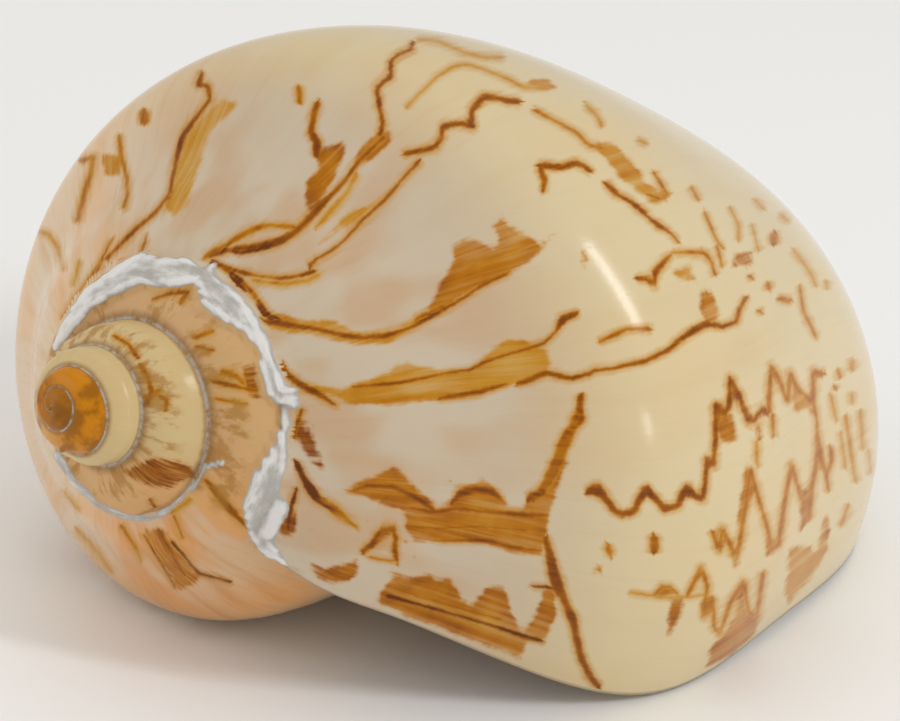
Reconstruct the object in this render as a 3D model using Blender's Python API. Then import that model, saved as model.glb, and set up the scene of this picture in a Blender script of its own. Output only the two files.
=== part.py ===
"""One volute sea snail shell, lying on its aperture, as a single closed solid.

The shell is a coiled wall. A whorl profile, running from the suture down to the front end, grows and
turns about the coiling axis. The wall is open at the aperture, where an inner surface runs back into
the body whorl, and the early whorls of the spire are closed on themselves along the suture.

Growth is counted in turns: 0 is the outer lip, -1 is one whorl earlier and APEX_TURN is the apex.
The place across a whorl is counted in profile stations: 0 is the suture above it, 2 is where the
next whorl's suture lies, 3 the shoulder, 4 the widest line, 5 the waist, 6 the neck, 7 the front end.
Radii are taken from the coiling axis and depths from the apex, along that axis.
"""
import math

import bmesh
import bpy
import numpy as np
from mathutils import Matrix, Vector

MM = 0.001

# Spire: radius and depth of the suture at every half turn, in mm, from the apex to a turn past the lip.
APEX_TURN = -5
SUTURE_STEP = 0.5
SUTURE_RADIUS = (0, 2.2, 3.3, 4.8, 6.7, 7.7, 8.4, 10.3, 14.8, 18.4, 23.4, 32.5, 40.0)
SUTURE_DEPTH = (0, 0.7, 1.0, 2.4, 4.1, 6.6, 8.0, 11.6, 14.3, 16.7, 20.3, 26.0, 36.0)

# How far a whorl swells between two sutures, as a part of the distance between them.
BULGE_TURNS = (-6, -3.5, -2, -1, -0.5, 0)
BULGE = (0.20, 0.20, 0.18, 0.13, 0.05, 0.09)

# Body whorl: radius and depth in mm at three growth stages: a turn back, half a turn back, the lip.
STAGE_TURNS = (-1.0, -0.5, 0.0)
SHOULDER = ((27.3, 30.4), (43.2, 33.1), (52.6, 55.2))
WIDEST = ((28.3, 36.6), (46.7, 50.7), (60.4, 75.9))
WAIST = ((24.5, 60.0), (38.5, 83.4), (56.0, 105.0))
NECK = ((13.5, 92.0), (23.8, 115.0), (42.0, 142.0))
FRONT = ((7.0, 128.0), (9.5, 138.0), (15.5, 150.0))

# The lip trails behind the turn of the profile by these angles, in degrees, at these stations.
SWEEP_STATIONS = (0.0, 2.0, 4.0, 5.5, 7.0)
SWEEP = (0.0, -4.0, -6.0, -12.0, -3.0)

# The tip of the spire leans off the coiling axis, in mm, and the lean dies out at this depth.
SPIRE_LEAN = (-4.3, 4.3)
LEAN_DEPTH = 60.0

# Wall and aperture.
WALL = 3.2
DEEP_WALL_SHARE = 0.35
LIP_ROUNDING = 1.2
CANAL_TURNS = 0.35
CAVITY_TURNS = 0.85
INNER_START_STATION = 0.7
PARIETAL_START_STATION = 2.8
CORNER_FILLET_ROWS = 3
CANAL_FLOOR = 0.45

# Folds on the pillar: stations of their crests, height and half width in mm and stations.
FOLD_STATIONS = (5.35, 5.65, 5.95, 6.25)
FOLD_HEIGHT = 1.5
FOLD_WIDTH = 0.12
FOLD_FADE_TURNS = 0.06

# How the shell lies: turned about the coiling axis, then tipped, in degrees.
LIE_ROLL = -55.87
LIE_PITCH = 100.42

# Mesh steps.
STEPS_PER_TURN = 40
SPIRE_STEPS = 5
FLANK_STEPS = 20
DEEP_STRIDE = 2

SPIRE_STATIONS = 2.0
WAIST_STATION = 5.0
LAST_STATION = 7.0

# Least length of a profile step, and the step over which a slope is measured, in stations or turns.
LEAST_CHORD = 1e-6
SLOPE_STEP = 0.002

SHELL_COLOUR = (0.80, 0.66, 0.47, 1.0)
SHELL_ROUGHNESS = 0.22


def smooth(x):
    """Ease from 0 to 1 as x does."""
    x = np.clip(x, 0.0, 1.0)
    return x * x * (3.0 - 2.0 * x)


def spline_slopes(places, values):
    """Second derivatives of the natural cubic spline through values at places."""
    count = len(places)
    gap = np.diff(places)
    matrix = np.eye(count)
    right = np.zeros((count,) + values.shape[1:])
    for i in range(1, count - 1):
        matrix[i, i - 1:i + 2] = gap[i - 1], 2 * (gap[i - 1] + gap[i]), gap[i]
        right[i] = 6 * ((values[i + 1] - values[i]) / gap[i] - (values[i] - values[i - 1]) / gap[i - 1])
    return np.linalg.solve(matrix, right)


def spline(places, values, at):
    """Read the natural cubic spline through values at places, at one place."""
    places = np.asarray(places, float)
    values = np.asarray(values, float)
    second = spline_slopes(places, values)
    i = int(np.clip(np.searchsorted(places, at) - 1, 0, len(places) - 2))
    gap = places[i + 1] - places[i]
    past = at - places[i]
    left = places[i + 1] - at
    cubic = (second[i] * left ** 3 + second[i + 1] * past ** 3) / (6 * gap)
    cubic = cubic + (values[i] / gap - second[i] * gap / 6) * left
    return cubic + (values[i + 1] / gap - second[i + 1] * gap / 6) * past


def suture(turn):
    """Radius and depth of the suture at a turn."""
    if turn <= APEX_TURN:
        return np.zeros(2)
    turns = APEX_TURN + SUTURE_STEP * np.arange(len(SUTURE_RADIUS))
    radius = spline(turns, SUTURE_RADIUS, turn)
    depth = spline(turns, SUTURE_DEPTH, turn)
    return np.array([max(radius, 0.0), depth])


def body_stations(turn):
    """Shoulder, widest line, waist, neck and front end at a turn."""
    stages = np.array([SHOULDER, WIDEST, WAIST, NECK, FRONT], float)
    if turn >= STAGE_TURNS[0]:
        first, middle, last = STAGE_TURNS
        weights = np.array([
            (turn - middle) * (turn - last) / ((first - middle) * (first - last)),
            (turn - first) * (turn - last) / ((middle - first) * (middle - last)),
            (turn - first) * (turn - middle) / ((last - first) * (last - middle)),
        ])
        return np.einsum("s,ksd->kd", weights, stages)
    start = suture(0.0)
    here = suture(turn + 1)
    return here + (stages[:, 0] - start) * here[0] / start[0]


def profile_points(turn):
    """The eight stations of the whorl profile at a turn, as radius and depth."""
    above = suture(turn)
    below = suture(turn + 1)
    along = below - above
    outward = np.array([along[1], -along[0]])
    middle = (above + below) / 2 + outward * spline(BULGE_TURNS, BULGE, turn)
    return np.vstack([above, middle, below, body_stations(turn)])


def profile(turn, stations):
    """Radius and depth on the whorl profile at a turn, for each station asked for."""
    points = profile_points(turn)
    chords = np.sqrt(np.linalg.norm(np.diff(points, axis=0), axis=1)) + LEAST_CHORD
    lengths = np.concatenate([[0.0], np.cumsum(chords)])
    at = np.interp(stations, np.arange(len(points)), lengths)
    return np.array([spline(lengths, points, place) for place in at])


def surface(turn, stations):
    """Points of the shell's outside at a turn, one for each station, in mm."""
    stations = np.asarray(stations, float)
    radius, depth = profile(turn, stations).T
    sweep = [spline(SWEEP_STATIONS, SWEEP, station) for station in stations]
    angle = 2 * math.pi * turn + np.radians(sweep) * smooth(turn + 1)
    lean = np.clip(1 - depth / LEAN_DEPTH, 0, 2) ** 2
    across = radius * np.cos(angle) + SPIRE_LEAN[0] * lean
    along = radius * np.sin(angle) + SPIRE_LEAN[1] * lean
    return np.stack([across, along, depth], axis=1)


def outward_normals(turn, stations):
    """Unit normals of the outside at a turn, one for each station."""
    by_turn = surface(turn, stations) - surface(turn - SLOPE_STEP, stations)
    by_station = surface(turn, stations + SLOPE_STEP) - surface(turn, stations - SLOPE_STEP)
    normals = np.cross(by_turn, by_station)
    return normals / np.linalg.norm(normals, axis=1)[:, None]


def growth(depth):
    """Size of the whorl that lies depth turns behind the lip, against its size at the lip."""
    return suture(-depth)[0] / suture(0.0)[0]


def inner_face(depth, stations):
    """Points of the cavity's outer side, depth turns behind the lip, from suture to front end."""
    inner = INNER_START_STATION + (LAST_STATION - INNER_START_STATION) * stations / LAST_STATION
    wall = WALL * (DEEP_WALL_SHARE + (1 - DEEP_WALL_SHARE) * growth(depth))
    points = surface(-depth, inner) - wall * outward_normals(-depth, inner)
    pillar_end = surface(-1 - depth, [LAST_STATION])[0]
    past_waist = smooth((stations - WAIST_STATION) / (LAST_STATION - WAIST_STATION))
    floor = past_waist * smooth((depth / CANAL_TURNS - CANAL_FLOOR) / (1 - CANAL_FLOOR))
    return points + floor[:, None] * (pillar_end - points)


def pillar_face(depth, stations, corner):
    """Points of the cavity's inner side, depth turns behind the lip, from corner to front end."""
    start = SPIRE_STATIONS + corner * (PARIETAL_START_STATION - SPIRE_STATIONS)
    share = (stations - SPIRE_STATIONS) / (LAST_STATION - SPIRE_STATIONS)
    inner = start + share * (LAST_STATION - start)
    points = surface(-1 - depth, inner)
    rise = sum(np.exp(-((inner - fold) / FOLD_WIDTH) ** 2) for fold in FOLD_STATIONS)
    rise = rise * FOLD_HEIGHT * growth(depth) * smooth(depth / FOLD_FADE_TURNS)
    return points + rise[:, None] * outward_normals(-1 - depth, inner)


def build_shell_mesh():
    """The closed surface of the shell: coiled outside, cavity, lip and the end of the pillar."""
    shell = bmesh.new()

    def vertex(point):
        return shell.verts.new(Vector(point) * MM)

    def quad_strip(one, other):
        for k in range(len(one) - 1):
            corners = [one[k], one[k + 1], other[k + 1], other[k]]
            corners = [c for i, c in enumerate(corners) if c is not corners[i - 1]]
            if len(corners) > 2:
                shell.faces.new(corners)

    spire_stations = np.linspace(0, SPIRE_STATIONS, SPIRE_STEPS + 1)
    flank_stations = np.linspace(SPIRE_STATIONS, LAST_STATION, FLANK_STEPS + 1)
    stations = np.concatenate([spire_stations, flank_stations[1:]])

    first_row = (APEX_TURN - 1) * STEPS_PER_TURN
    pole = vertex(surface(APEX_TURN, [0.0])[0])
    rows = {first_row: [pole] * (SPIRE_STEPS + 1)}
    for row in range(first_row + 1, 1):
        turn = row / STEPS_PER_TURN
        here = spire_stations if row < -STEPS_PER_TURN else stations
        points = surface(turn, here)
        rows[row] = [vertex(point) for point in points]
        earlier = row - STEPS_PER_TURN
        if earlier in rows:
            seam = rows[earlier][SPIRE_STEPS]
            shell.verts.remove(rows[row][0])
            rows[row][0] = seam
        elif row <= APEX_TURN * STEPS_PER_TURN:
            shell.verts.remove(rows[row][0])
            rows[row][0] = pole
        quad_strip(rows[row - 1][:len(here)], rows[row])

    lip_row = rows[0]
    back_row = rows[-STEPS_PER_TURN]
    canal_rows = round(CANAL_TURNS * STEPS_PER_TURN)
    cavity_rows = round(CAVITY_TURNS * STEPS_PER_TURN)
    depths = list(range(0, canal_rows + 1)) + list(range(canal_rows + DEEP_STRIDE, cavity_rows + 1, DEEP_STRIDE))
    sheet = {}
    for index, row in enumerate(depths):
        depth = row / STEPS_PER_TURN
        corner = min(index / CORNER_FILLET_ROWS, 1.0)
        if index == 0:
            pillar = back_row[SPIRE_STEPS:]
        else:
            pillar = [vertex(p) for p in pillar_face(depth, flank_stations, corner)]
        outer = [vertex(p) for p in inner_face(depth, stations[1:])]
        if row >= canal_rows:
            shell.verts.remove(outer[-1])
            outer[-1] = pillar[-1]
        sheet[row] = outer[::-1] + pillar
    for one, other in zip(depths, depths[1:]):
        quad_strip(sheet[other], sheet[one])

    end = sheet[depths[-1]]
    half = (len(end) + 1) // 2
    quad_strip(end[:half], end[::-1][:half])

    rim_outside = lip_row + [rows[-k][-1] for k in range(1, canal_rows + 1)]
    rim_inside = [back_row[SPIRE_STEPS]] + sheet[0][:len(stations) - 1][::-1]
    rim_inside += [sheet[k][0] for k in range(1, canal_rows + 1)]
    crest = [lip_row[0]]
    for outside, inside in zip(rim_outside[1:-1], rim_inside[1:-1]):
        middle = (outside.co + inside.co) / 2
        across = (outside.co - inside.co).normalized()
        crest.append(vertex(middle / MM))
        crest[-1].co += LIP_ROUNDING * MM * rim_forward(crest[-2].co, crest[-1].co, across)
    crest.append(rim_outside[-1])
    quad_strip(rim_outside, crest)
    quad_strip(crest, rim_inside)

    cap = [rows[-k][-1] for k in range(canal_rows, STEPS_PER_TURN)]
    cap += [sheet[k][-1] for k in range(0, canal_rows + 1)]
    hub = vertex(sum((v.co for v in cap), Vector()) / len(cap) / MM)
    for k, corner in enumerate(cap):
        shell.faces.new([corner, cap[(k + 1) % len(cap)], hub])

    bmesh.ops.triangulate(shell, faces=shell.faces)
    bmesh.ops.recalc_face_normals(shell, faces=shell.faces)
    if shell.calc_volume(signed=True) < 0:
        bmesh.ops.reverse_faces(shell, faces=shell.faces)
    return shell


def rim_forward(before, here, across):
    """Direction out of the rim, square to its run and to the wall's thickness."""
    run = (here - before).normalized()
    return across.cross(run).normalized()


def lying_turn():
    """The turn that lays the upright shell on its aperture."""
    roll = Matrix.Rotation(math.radians(LIE_ROLL), 4, "Z")
    pitch = Matrix.Rotation(math.radians(LIE_PITCH), 4, "Y")
    return pitch @ roll


def shell_material():
    """Glossy cream shell."""
    material = bpy.data.materials.new("shell")
    material.use_nodes = True
    shader = material.node_tree.nodes["Principled BSDF"]
    shader.inputs["Base Color"].default_value = SHELL_COLOUR
    shader.inputs["Roughness"].default_value = SHELL_ROUGHNESS
    shader.inputs["Metallic"].default_value = 0.0
    return material


def main():
    """Build the shell, lay it down and stand it on the ground about the origin."""
    for old in list(bpy.data.objects):
        bpy.data.objects.remove(old, do_unlink=True)
    shell = build_shell_mesh()
    bmesh.ops.transform(shell, matrix=lying_turn(), verts=shell.verts)
    places = np.array([v.co for v in shell.verts])
    low, high = places.min(axis=0), places.max(axis=0)
    base = Vector(((low[0] + high[0]) / 2, (low[1] + high[1]) / 2, low[2]))
    bmesh.ops.translate(shell, vec=-base, verts=shell.verts)
    mesh = bpy.data.meshes.new("shell")
    shell.to_mesh(mesh)
    shell.free()
    mesh.shade_smooth()
    mesh.materials.append(shell_material())
    bpy.context.scene.collection.objects.link(bpy.data.objects.new("shell", mesh))


main()
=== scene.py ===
"""A glossy volute sea snail shell with brown zigzag and tent marks, lying on its aperture.

The shell is one coiled wall. Its place is counted in turns of growth, 0 at the outer lip and -1 one
whorl earlier, and in stations across a whorl, 0 at the suture above and 7 at the front end. The sheets
of the wall are laid as grids, wrapped by the growth law, and joined into one closed skin.
"""
import logging
import math
from dataclasses import dataclass, field
from enum import Enum
from typing import Any

import bpy
import numpy as np
from mathutils import Matrix, Vector


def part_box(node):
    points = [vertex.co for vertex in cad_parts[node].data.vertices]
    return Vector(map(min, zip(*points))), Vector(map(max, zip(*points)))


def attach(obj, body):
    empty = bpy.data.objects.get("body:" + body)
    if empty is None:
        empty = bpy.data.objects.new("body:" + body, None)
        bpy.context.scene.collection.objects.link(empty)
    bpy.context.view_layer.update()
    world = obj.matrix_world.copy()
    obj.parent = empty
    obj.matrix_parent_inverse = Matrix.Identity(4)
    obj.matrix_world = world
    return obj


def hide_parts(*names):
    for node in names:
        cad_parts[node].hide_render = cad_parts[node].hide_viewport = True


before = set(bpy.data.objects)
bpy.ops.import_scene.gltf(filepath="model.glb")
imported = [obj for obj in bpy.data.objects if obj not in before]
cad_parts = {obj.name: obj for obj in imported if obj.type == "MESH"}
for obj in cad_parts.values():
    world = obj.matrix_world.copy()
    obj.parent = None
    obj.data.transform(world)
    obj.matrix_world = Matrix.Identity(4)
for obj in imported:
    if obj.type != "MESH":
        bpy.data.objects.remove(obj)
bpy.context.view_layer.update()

MM = 0.001
log = logging.getLogger("shell")


class Whorls(Enum):
    """The whorls that a mark is painted on."""

    BODY = "body"
    SPIRE = "spire"


def ease(x: np.ndarray) -> np.ndarray:
    """Ease from 0 to 1 as x does."""
    x = np.clip(x, 0.0, 1.0)
    return x * x * (3.0 - 2.0 * x)


def spline_bends(steps: np.ndarray, values: np.ndarray) -> np.ndarray:
    """Second derivatives of natural cubic splines.

    Args:
        steps: Lengths between the values, (curves, count - 1).
        values: The values, (curves, count, size).

    Returns:
        The second derivatives, shaped as the values.
    """
    curves, count, size = values.shape
    matrix = np.zeros((curves, count, count))
    right = np.zeros((curves, count, size))
    matrix[:, 0, 0] = matrix[:, -1, -1] = 1
    for i in range(1, count - 1):
        before, after = steps[:, i - 1], steps[:, i]
        matrix[:, i, i - 1] = before
        matrix[:, i, i] = 2 * (before + after)
        matrix[:, i, i + 1] = after
        rise = (values[:, i + 1] - values[:, i]) / after[:, None]
        right[:, i] = 6 * (rise - (values[:, i] - values[:, i - 1]) / before[:, None])
    return np.linalg.solve(matrix, right)


def spline(steps: np.ndarray, values: np.ndarray, at: np.ndarray) -> np.ndarray:
    """Read natural cubic splines.

    Args:
        steps: Lengths between the values, (curves, count - 1).
        values: The values, (curves, count, size).
        at: Places to read, counted in values, (curves, places).

    Returns:
        The values read, (curves, places, size).
    """
    bends = spline_bends(steps, values)
    cell = np.clip(np.floor(at).astype(int), 0, values.shape[1] - 2)
    row = np.arange(len(values))[:, None]
    gap = steps[row, cell]
    past = ((at - cell) * gap)[..., None]
    left = ((1 - at + cell) * gap)[..., None]
    gap = gap[..., None]
    read = (bends[row, cell] * left ** 3 + bends[row, cell + 1] * past ** 3) / (6 * gap)
    read += (values[row, cell] / gap - bends[row, cell] * gap / 6) * left
    return read + (values[row, cell + 1] / gap - bends[row, cell + 1] * gap / 6) * past


def curve(places: tuple, values: tuple, at: np.ndarray) -> np.ndarray:
    """Read one natural cubic spline through values at places."""
    places = np.asarray(places, float)
    values = np.asarray(values, float)[None, :, None]
    at = np.asarray(at, float)
    cell = np.clip(np.searchsorted(places, at.ravel()) - 1, 0, len(places) - 2)
    counted = cell + (at.ravel() - places[cell]) / np.diff(places)[cell]
    return spline(np.diff(places)[None], values, counted[None])[0, :, 0].reshape(at.shape)


@dataclass(frozen=True)
class GrowthLaw:
    """How the shell grows: radii and depths in mm, from the coiling axis and from the apex."""

    apex_turn: float = -5.0
    suture_step: float = 0.5
    suture_radius: tuple = (0, 2.2, 3.3, 4.8, 6.7, 7.7, 8.4, 10.3, 14.8, 18.4, 23.4, 32.5, 40.0)
    suture_depth: tuple = (0, 0.7, 1.0, 2.4, 4.1, 6.6, 8.0, 11.6, 14.3, 16.7, 20.3, 26.0, 36.0)
    bulge_turns: tuple = (-6, -3.5, -2, -1, -0.5, 0)
    bulge: tuple = (0.20, 0.20, 0.18, 0.13, 0.05, 0.09)
    stage_turns: tuple = (-1.0, -0.5, 0.0)
    shoulder: tuple = ((27.3, 30.4), (43.2, 33.1), (52.6, 55.2))
    widest: tuple = ((28.3, 36.6), (46.7, 50.7), (60.4, 75.9))
    waist: tuple = ((24.5, 60.0), (38.5, 83.4), (56.0, 105.0))
    neck: tuple = ((13.5, 92.0), (23.8, 115.0), (42.0, 142.0))
    front: tuple = ((7.0, 128.0), (9.5, 138.0), (15.5, 150.0))
    sweep_stations: tuple = (0.0, 2.0, 4.0, 5.5, 7.0)
    sweep: tuple = (0.0, -4.0, -6.0, -12.0, -3.0)
    spire_lean: tuple = (-4.3, 4.3)
    lean_depth: float = 60.0
    least_chord: float = 1e-6
    slope_step: float = 0.002

    def suture(self, turns: np.ndarray) -> np.ndarray:
        """Radius and depth of the suture at each turn."""
        places = self.apex_turn + self.suture_step * np.arange(len(self.suture_radius))
        radius = np.maximum(curve(places, self.suture_radius, turns), 0)
        depth = curve(places, self.suture_depth, turns)
        grown = turns > self.apex_turn
        return np.stack([np.where(grown, radius, 0), np.where(grown, depth, 0)], axis=-1)

    def body_stations(self, turns: np.ndarray) -> np.ndarray:
        """Shoulder, widest line, waist, neck and front end at each turn, (turns, 5, 2)."""
        stages = np.array([self.shoulder, self.widest, self.waist, self.neck, self.front], float)
        first, middle, last = self.stage_turns
        weights = np.stack([
            (turns - middle) * (turns - last) / ((first - middle) * (first - last)),
            (turns - first) * (turns - last) / ((middle - first) * (middle - last)),
            (turns - first) * (turns - middle) / ((last - first) * (last - middle)),
        ], axis=-1)
        grown = np.einsum("ns,ksd->nkd", weights, stages)
        start = self.suture(np.zeros(1))[0]
        here = self.suture(turns + 1)
        share = (here[:, 0] / start[0])[:, None, None]
        early = here[:, None] + (stages[:, 0] - start)[None] * share
        return np.where((turns >= first)[:, None, None], grown, early)

    def profile(self, turns: np.ndarray, stations: np.ndarray) -> np.ndarray:
        """Radius and depth on the whorl profile at each turn and station."""
        above, below = self.suture(turns), self.suture(turns + 1)
        along = below - above
        outward = np.stack([along[:, 1], -along[:, 0]], axis=-1)
        swell = curve(self.bulge_turns, self.bulge, turns)[:, None]
        middle = (above + below) / 2 + outward * swell
        points = np.concatenate([np.stack([above, middle, below], axis=1), self.body_stations(turns)], axis=1)
        steps = np.sqrt(np.linalg.norm(np.diff(points, axis=1), axis=2)) + self.least_chord
        return spline(steps, points, np.clip(stations, 0, points.shape[1] - 1))

    def surface(self, turns: np.ndarray, stations: np.ndarray) -> np.ndarray:
        """Points of the shell's outside, in mm.

        Args:
            turns: Turn of each row.
            stations: Stations, the same for all rows or one set for each.

        Returns:
            The points, (rows, stations, 3), with the apex at the top and depth counted down the axis.
        """
        turns = np.asarray(turns, float)
        stations = np.broadcast_to(np.asarray(stations, float), (len(turns), np.shape(stations)[-1]))
        radius, depth = np.moveaxis(self.profile(turns, stations), -1, 0)
        swept = curve(self.sweep_stations, self.sweep, np.clip(stations, 0, self.sweep_stations[-1]))
        angle = 2 * math.pi * turns[:, None] + np.radians(swept) * ease(turns + 1)[:, None]
        lean = np.clip(1 - depth / self.lean_depth, 0, 2) ** 2
        across = radius * np.cos(angle) + self.spire_lean[0] * lean
        along = radius * np.sin(angle) + self.spire_lean[1] * lean
        return np.stack([across, along, depth], axis=-1)

    def outward(self, turns: np.ndarray, stations: np.ndarray) -> np.ndarray:
        """Unit normals of the outside at each turn and station."""
        turns, step = np.asarray(turns, float), self.slope_step
        by_turn = self.surface(turns, stations) - self.surface(turns - step, stations)
        by_station = self.surface(turns, stations + step) - self.surface(turns, stations - step)
        normals = np.cross(by_turn, by_station)
        return normals / np.linalg.norm(normals, axis=-1, keepdims=True)

    def growth(self, depths: np.ndarray) -> np.ndarray:
        """Size of the whorl that lies so many turns behind the lip, against its size at the lip."""
        return self.suture(-depths)[:, 0] / self.suture(np.zeros(1))[0, 0]


@dataclass(frozen=True)
class Lie:
    """How the shell lies on the ground, in degrees and mm."""

    roll: float = -55.87
    pitch: float = 100.42
    ground_point: tuple = (72.742, -6.937, -42.184)

    def turn(self) -> np.ndarray:
        """The turn from the growing frame to the lying one."""
        roll = Matrix.Rotation(math.radians(self.roll), 3, "Z")
        pitch = Matrix.Rotation(math.radians(self.pitch), 3, "Y")
        return np.array(pitch @ roll)

    def lay(self, points: np.ndarray) -> np.ndarray:
        """Points in mm of the growing frame, laid on the ground, in metres."""
        return (points @ self.turn().T - np.array(self.ground_point)) * MM


@dataclass(frozen=True)
class PhotoView:
    """Where the camera stands: turns in degrees, places in mm, the picture in pixels."""

    tilt: float = 38.07
    side: float = 7.96
    spin: float = 62.70
    centre: tuple = (48.79, 7.26)
    distance: float = 600.0
    focal: float = 4500.0
    width: int = 900
    height: int = 721
    sensor: float = 36.0
    pixels_per_mm: float = 7.5

    def axes(self) -> np.ndarray:
        """The turn from the growing frame to the camera's own axes."""
        tilt, side, spin = (math.radians(a) for a in (self.tilt, self.side, self.spin))
        right = (math.cos(tilt) * math.cos(side), math.cos(tilt) * math.sin(side), math.sin(tilt))
        up = (math.sin(side), -math.cos(side), 0.0)
        back = (math.sin(tilt) * math.cos(side), math.sin(tilt) * math.sin(side), -math.cos(tilt))
        spun = np.array(Matrix.Rotation(spin, 3, "Z"))
        return np.stack([right, up, back], axis=1) @ spun

    def pixels(self, points: np.ndarray) -> np.ndarray:
        """Picture places, in pixels, of points in mm of the growing frame."""
        seen = points @ self.axes().T
        away = self.distance - seen[..., 2]
        across = self.width / 2 + self.focal * (seen[..., 0] - self.centre[0]) / away
        down = self.height / 2 - self.focal * (seen[..., 1] - self.centre[1]) / away
        return np.stack([across, down], axis=-1)

    def facing(self, points: np.ndarray, normals: np.ndarray) -> np.ndarray:
        """How squarely each point faces the camera, from -1 to 1."""
        eye = self.axes().T @ np.array([*self.centre, self.distance])
        sight = eye - points
        sight /= np.linalg.norm(sight, axis=-1, keepdims=True)
        return (sight * normals).sum(axis=-1)

    def place(self, lie: Lie) -> bpy.types.Object:
        """Stand the camera where the photo was taken from."""
        turn = lie.turn() @ self.axes().T
        spot = turn @ np.array([*self.centre, self.distance])
        data = bpy.data.cameras.new("camera")
        data.sensor_width = self.sensor
        data.lens = self.focal * self.sensor / self.width
        data.clip_start = 0.01
        camera = bpy.data.objects.new("camera", data)
        bpy.context.scene.collection.objects.link(camera)
        placed = Matrix(turn.tolist()).to_4x4()
        placed.translation = Vector((spot - np.array(lie.ground_point)) * MM)
        camera.matrix_world = placed
        bpy.context.scene.camera = camera
        return camera


@dataclass(frozen=True)
class Line:
    """A painted line: its places in pixels of the picture, each with a width or the line's own."""

    name: str
    tone: float
    width: float
    path: tuple
    whorls: Whorls = Whorls.BODY

    def corners(self) -> np.ndarray:
        """The line's corners as x, y and half width."""
        return np.array([(*c[:2], (c[2] if len(c) > 2 else self.width) / 2) for c in self.path], float)


@dataclass(frozen=True)
class Patch:
    """A painted patch: its outline in pixels of the picture."""

    name: str
    tone: float
    outline: tuple
    whorls: Whorls = Whorls.BODY


PALE, TAN, ORANGE, BROWN, DARK = 0.12, 0.3, 0.55, 0.75, 1.0

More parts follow.
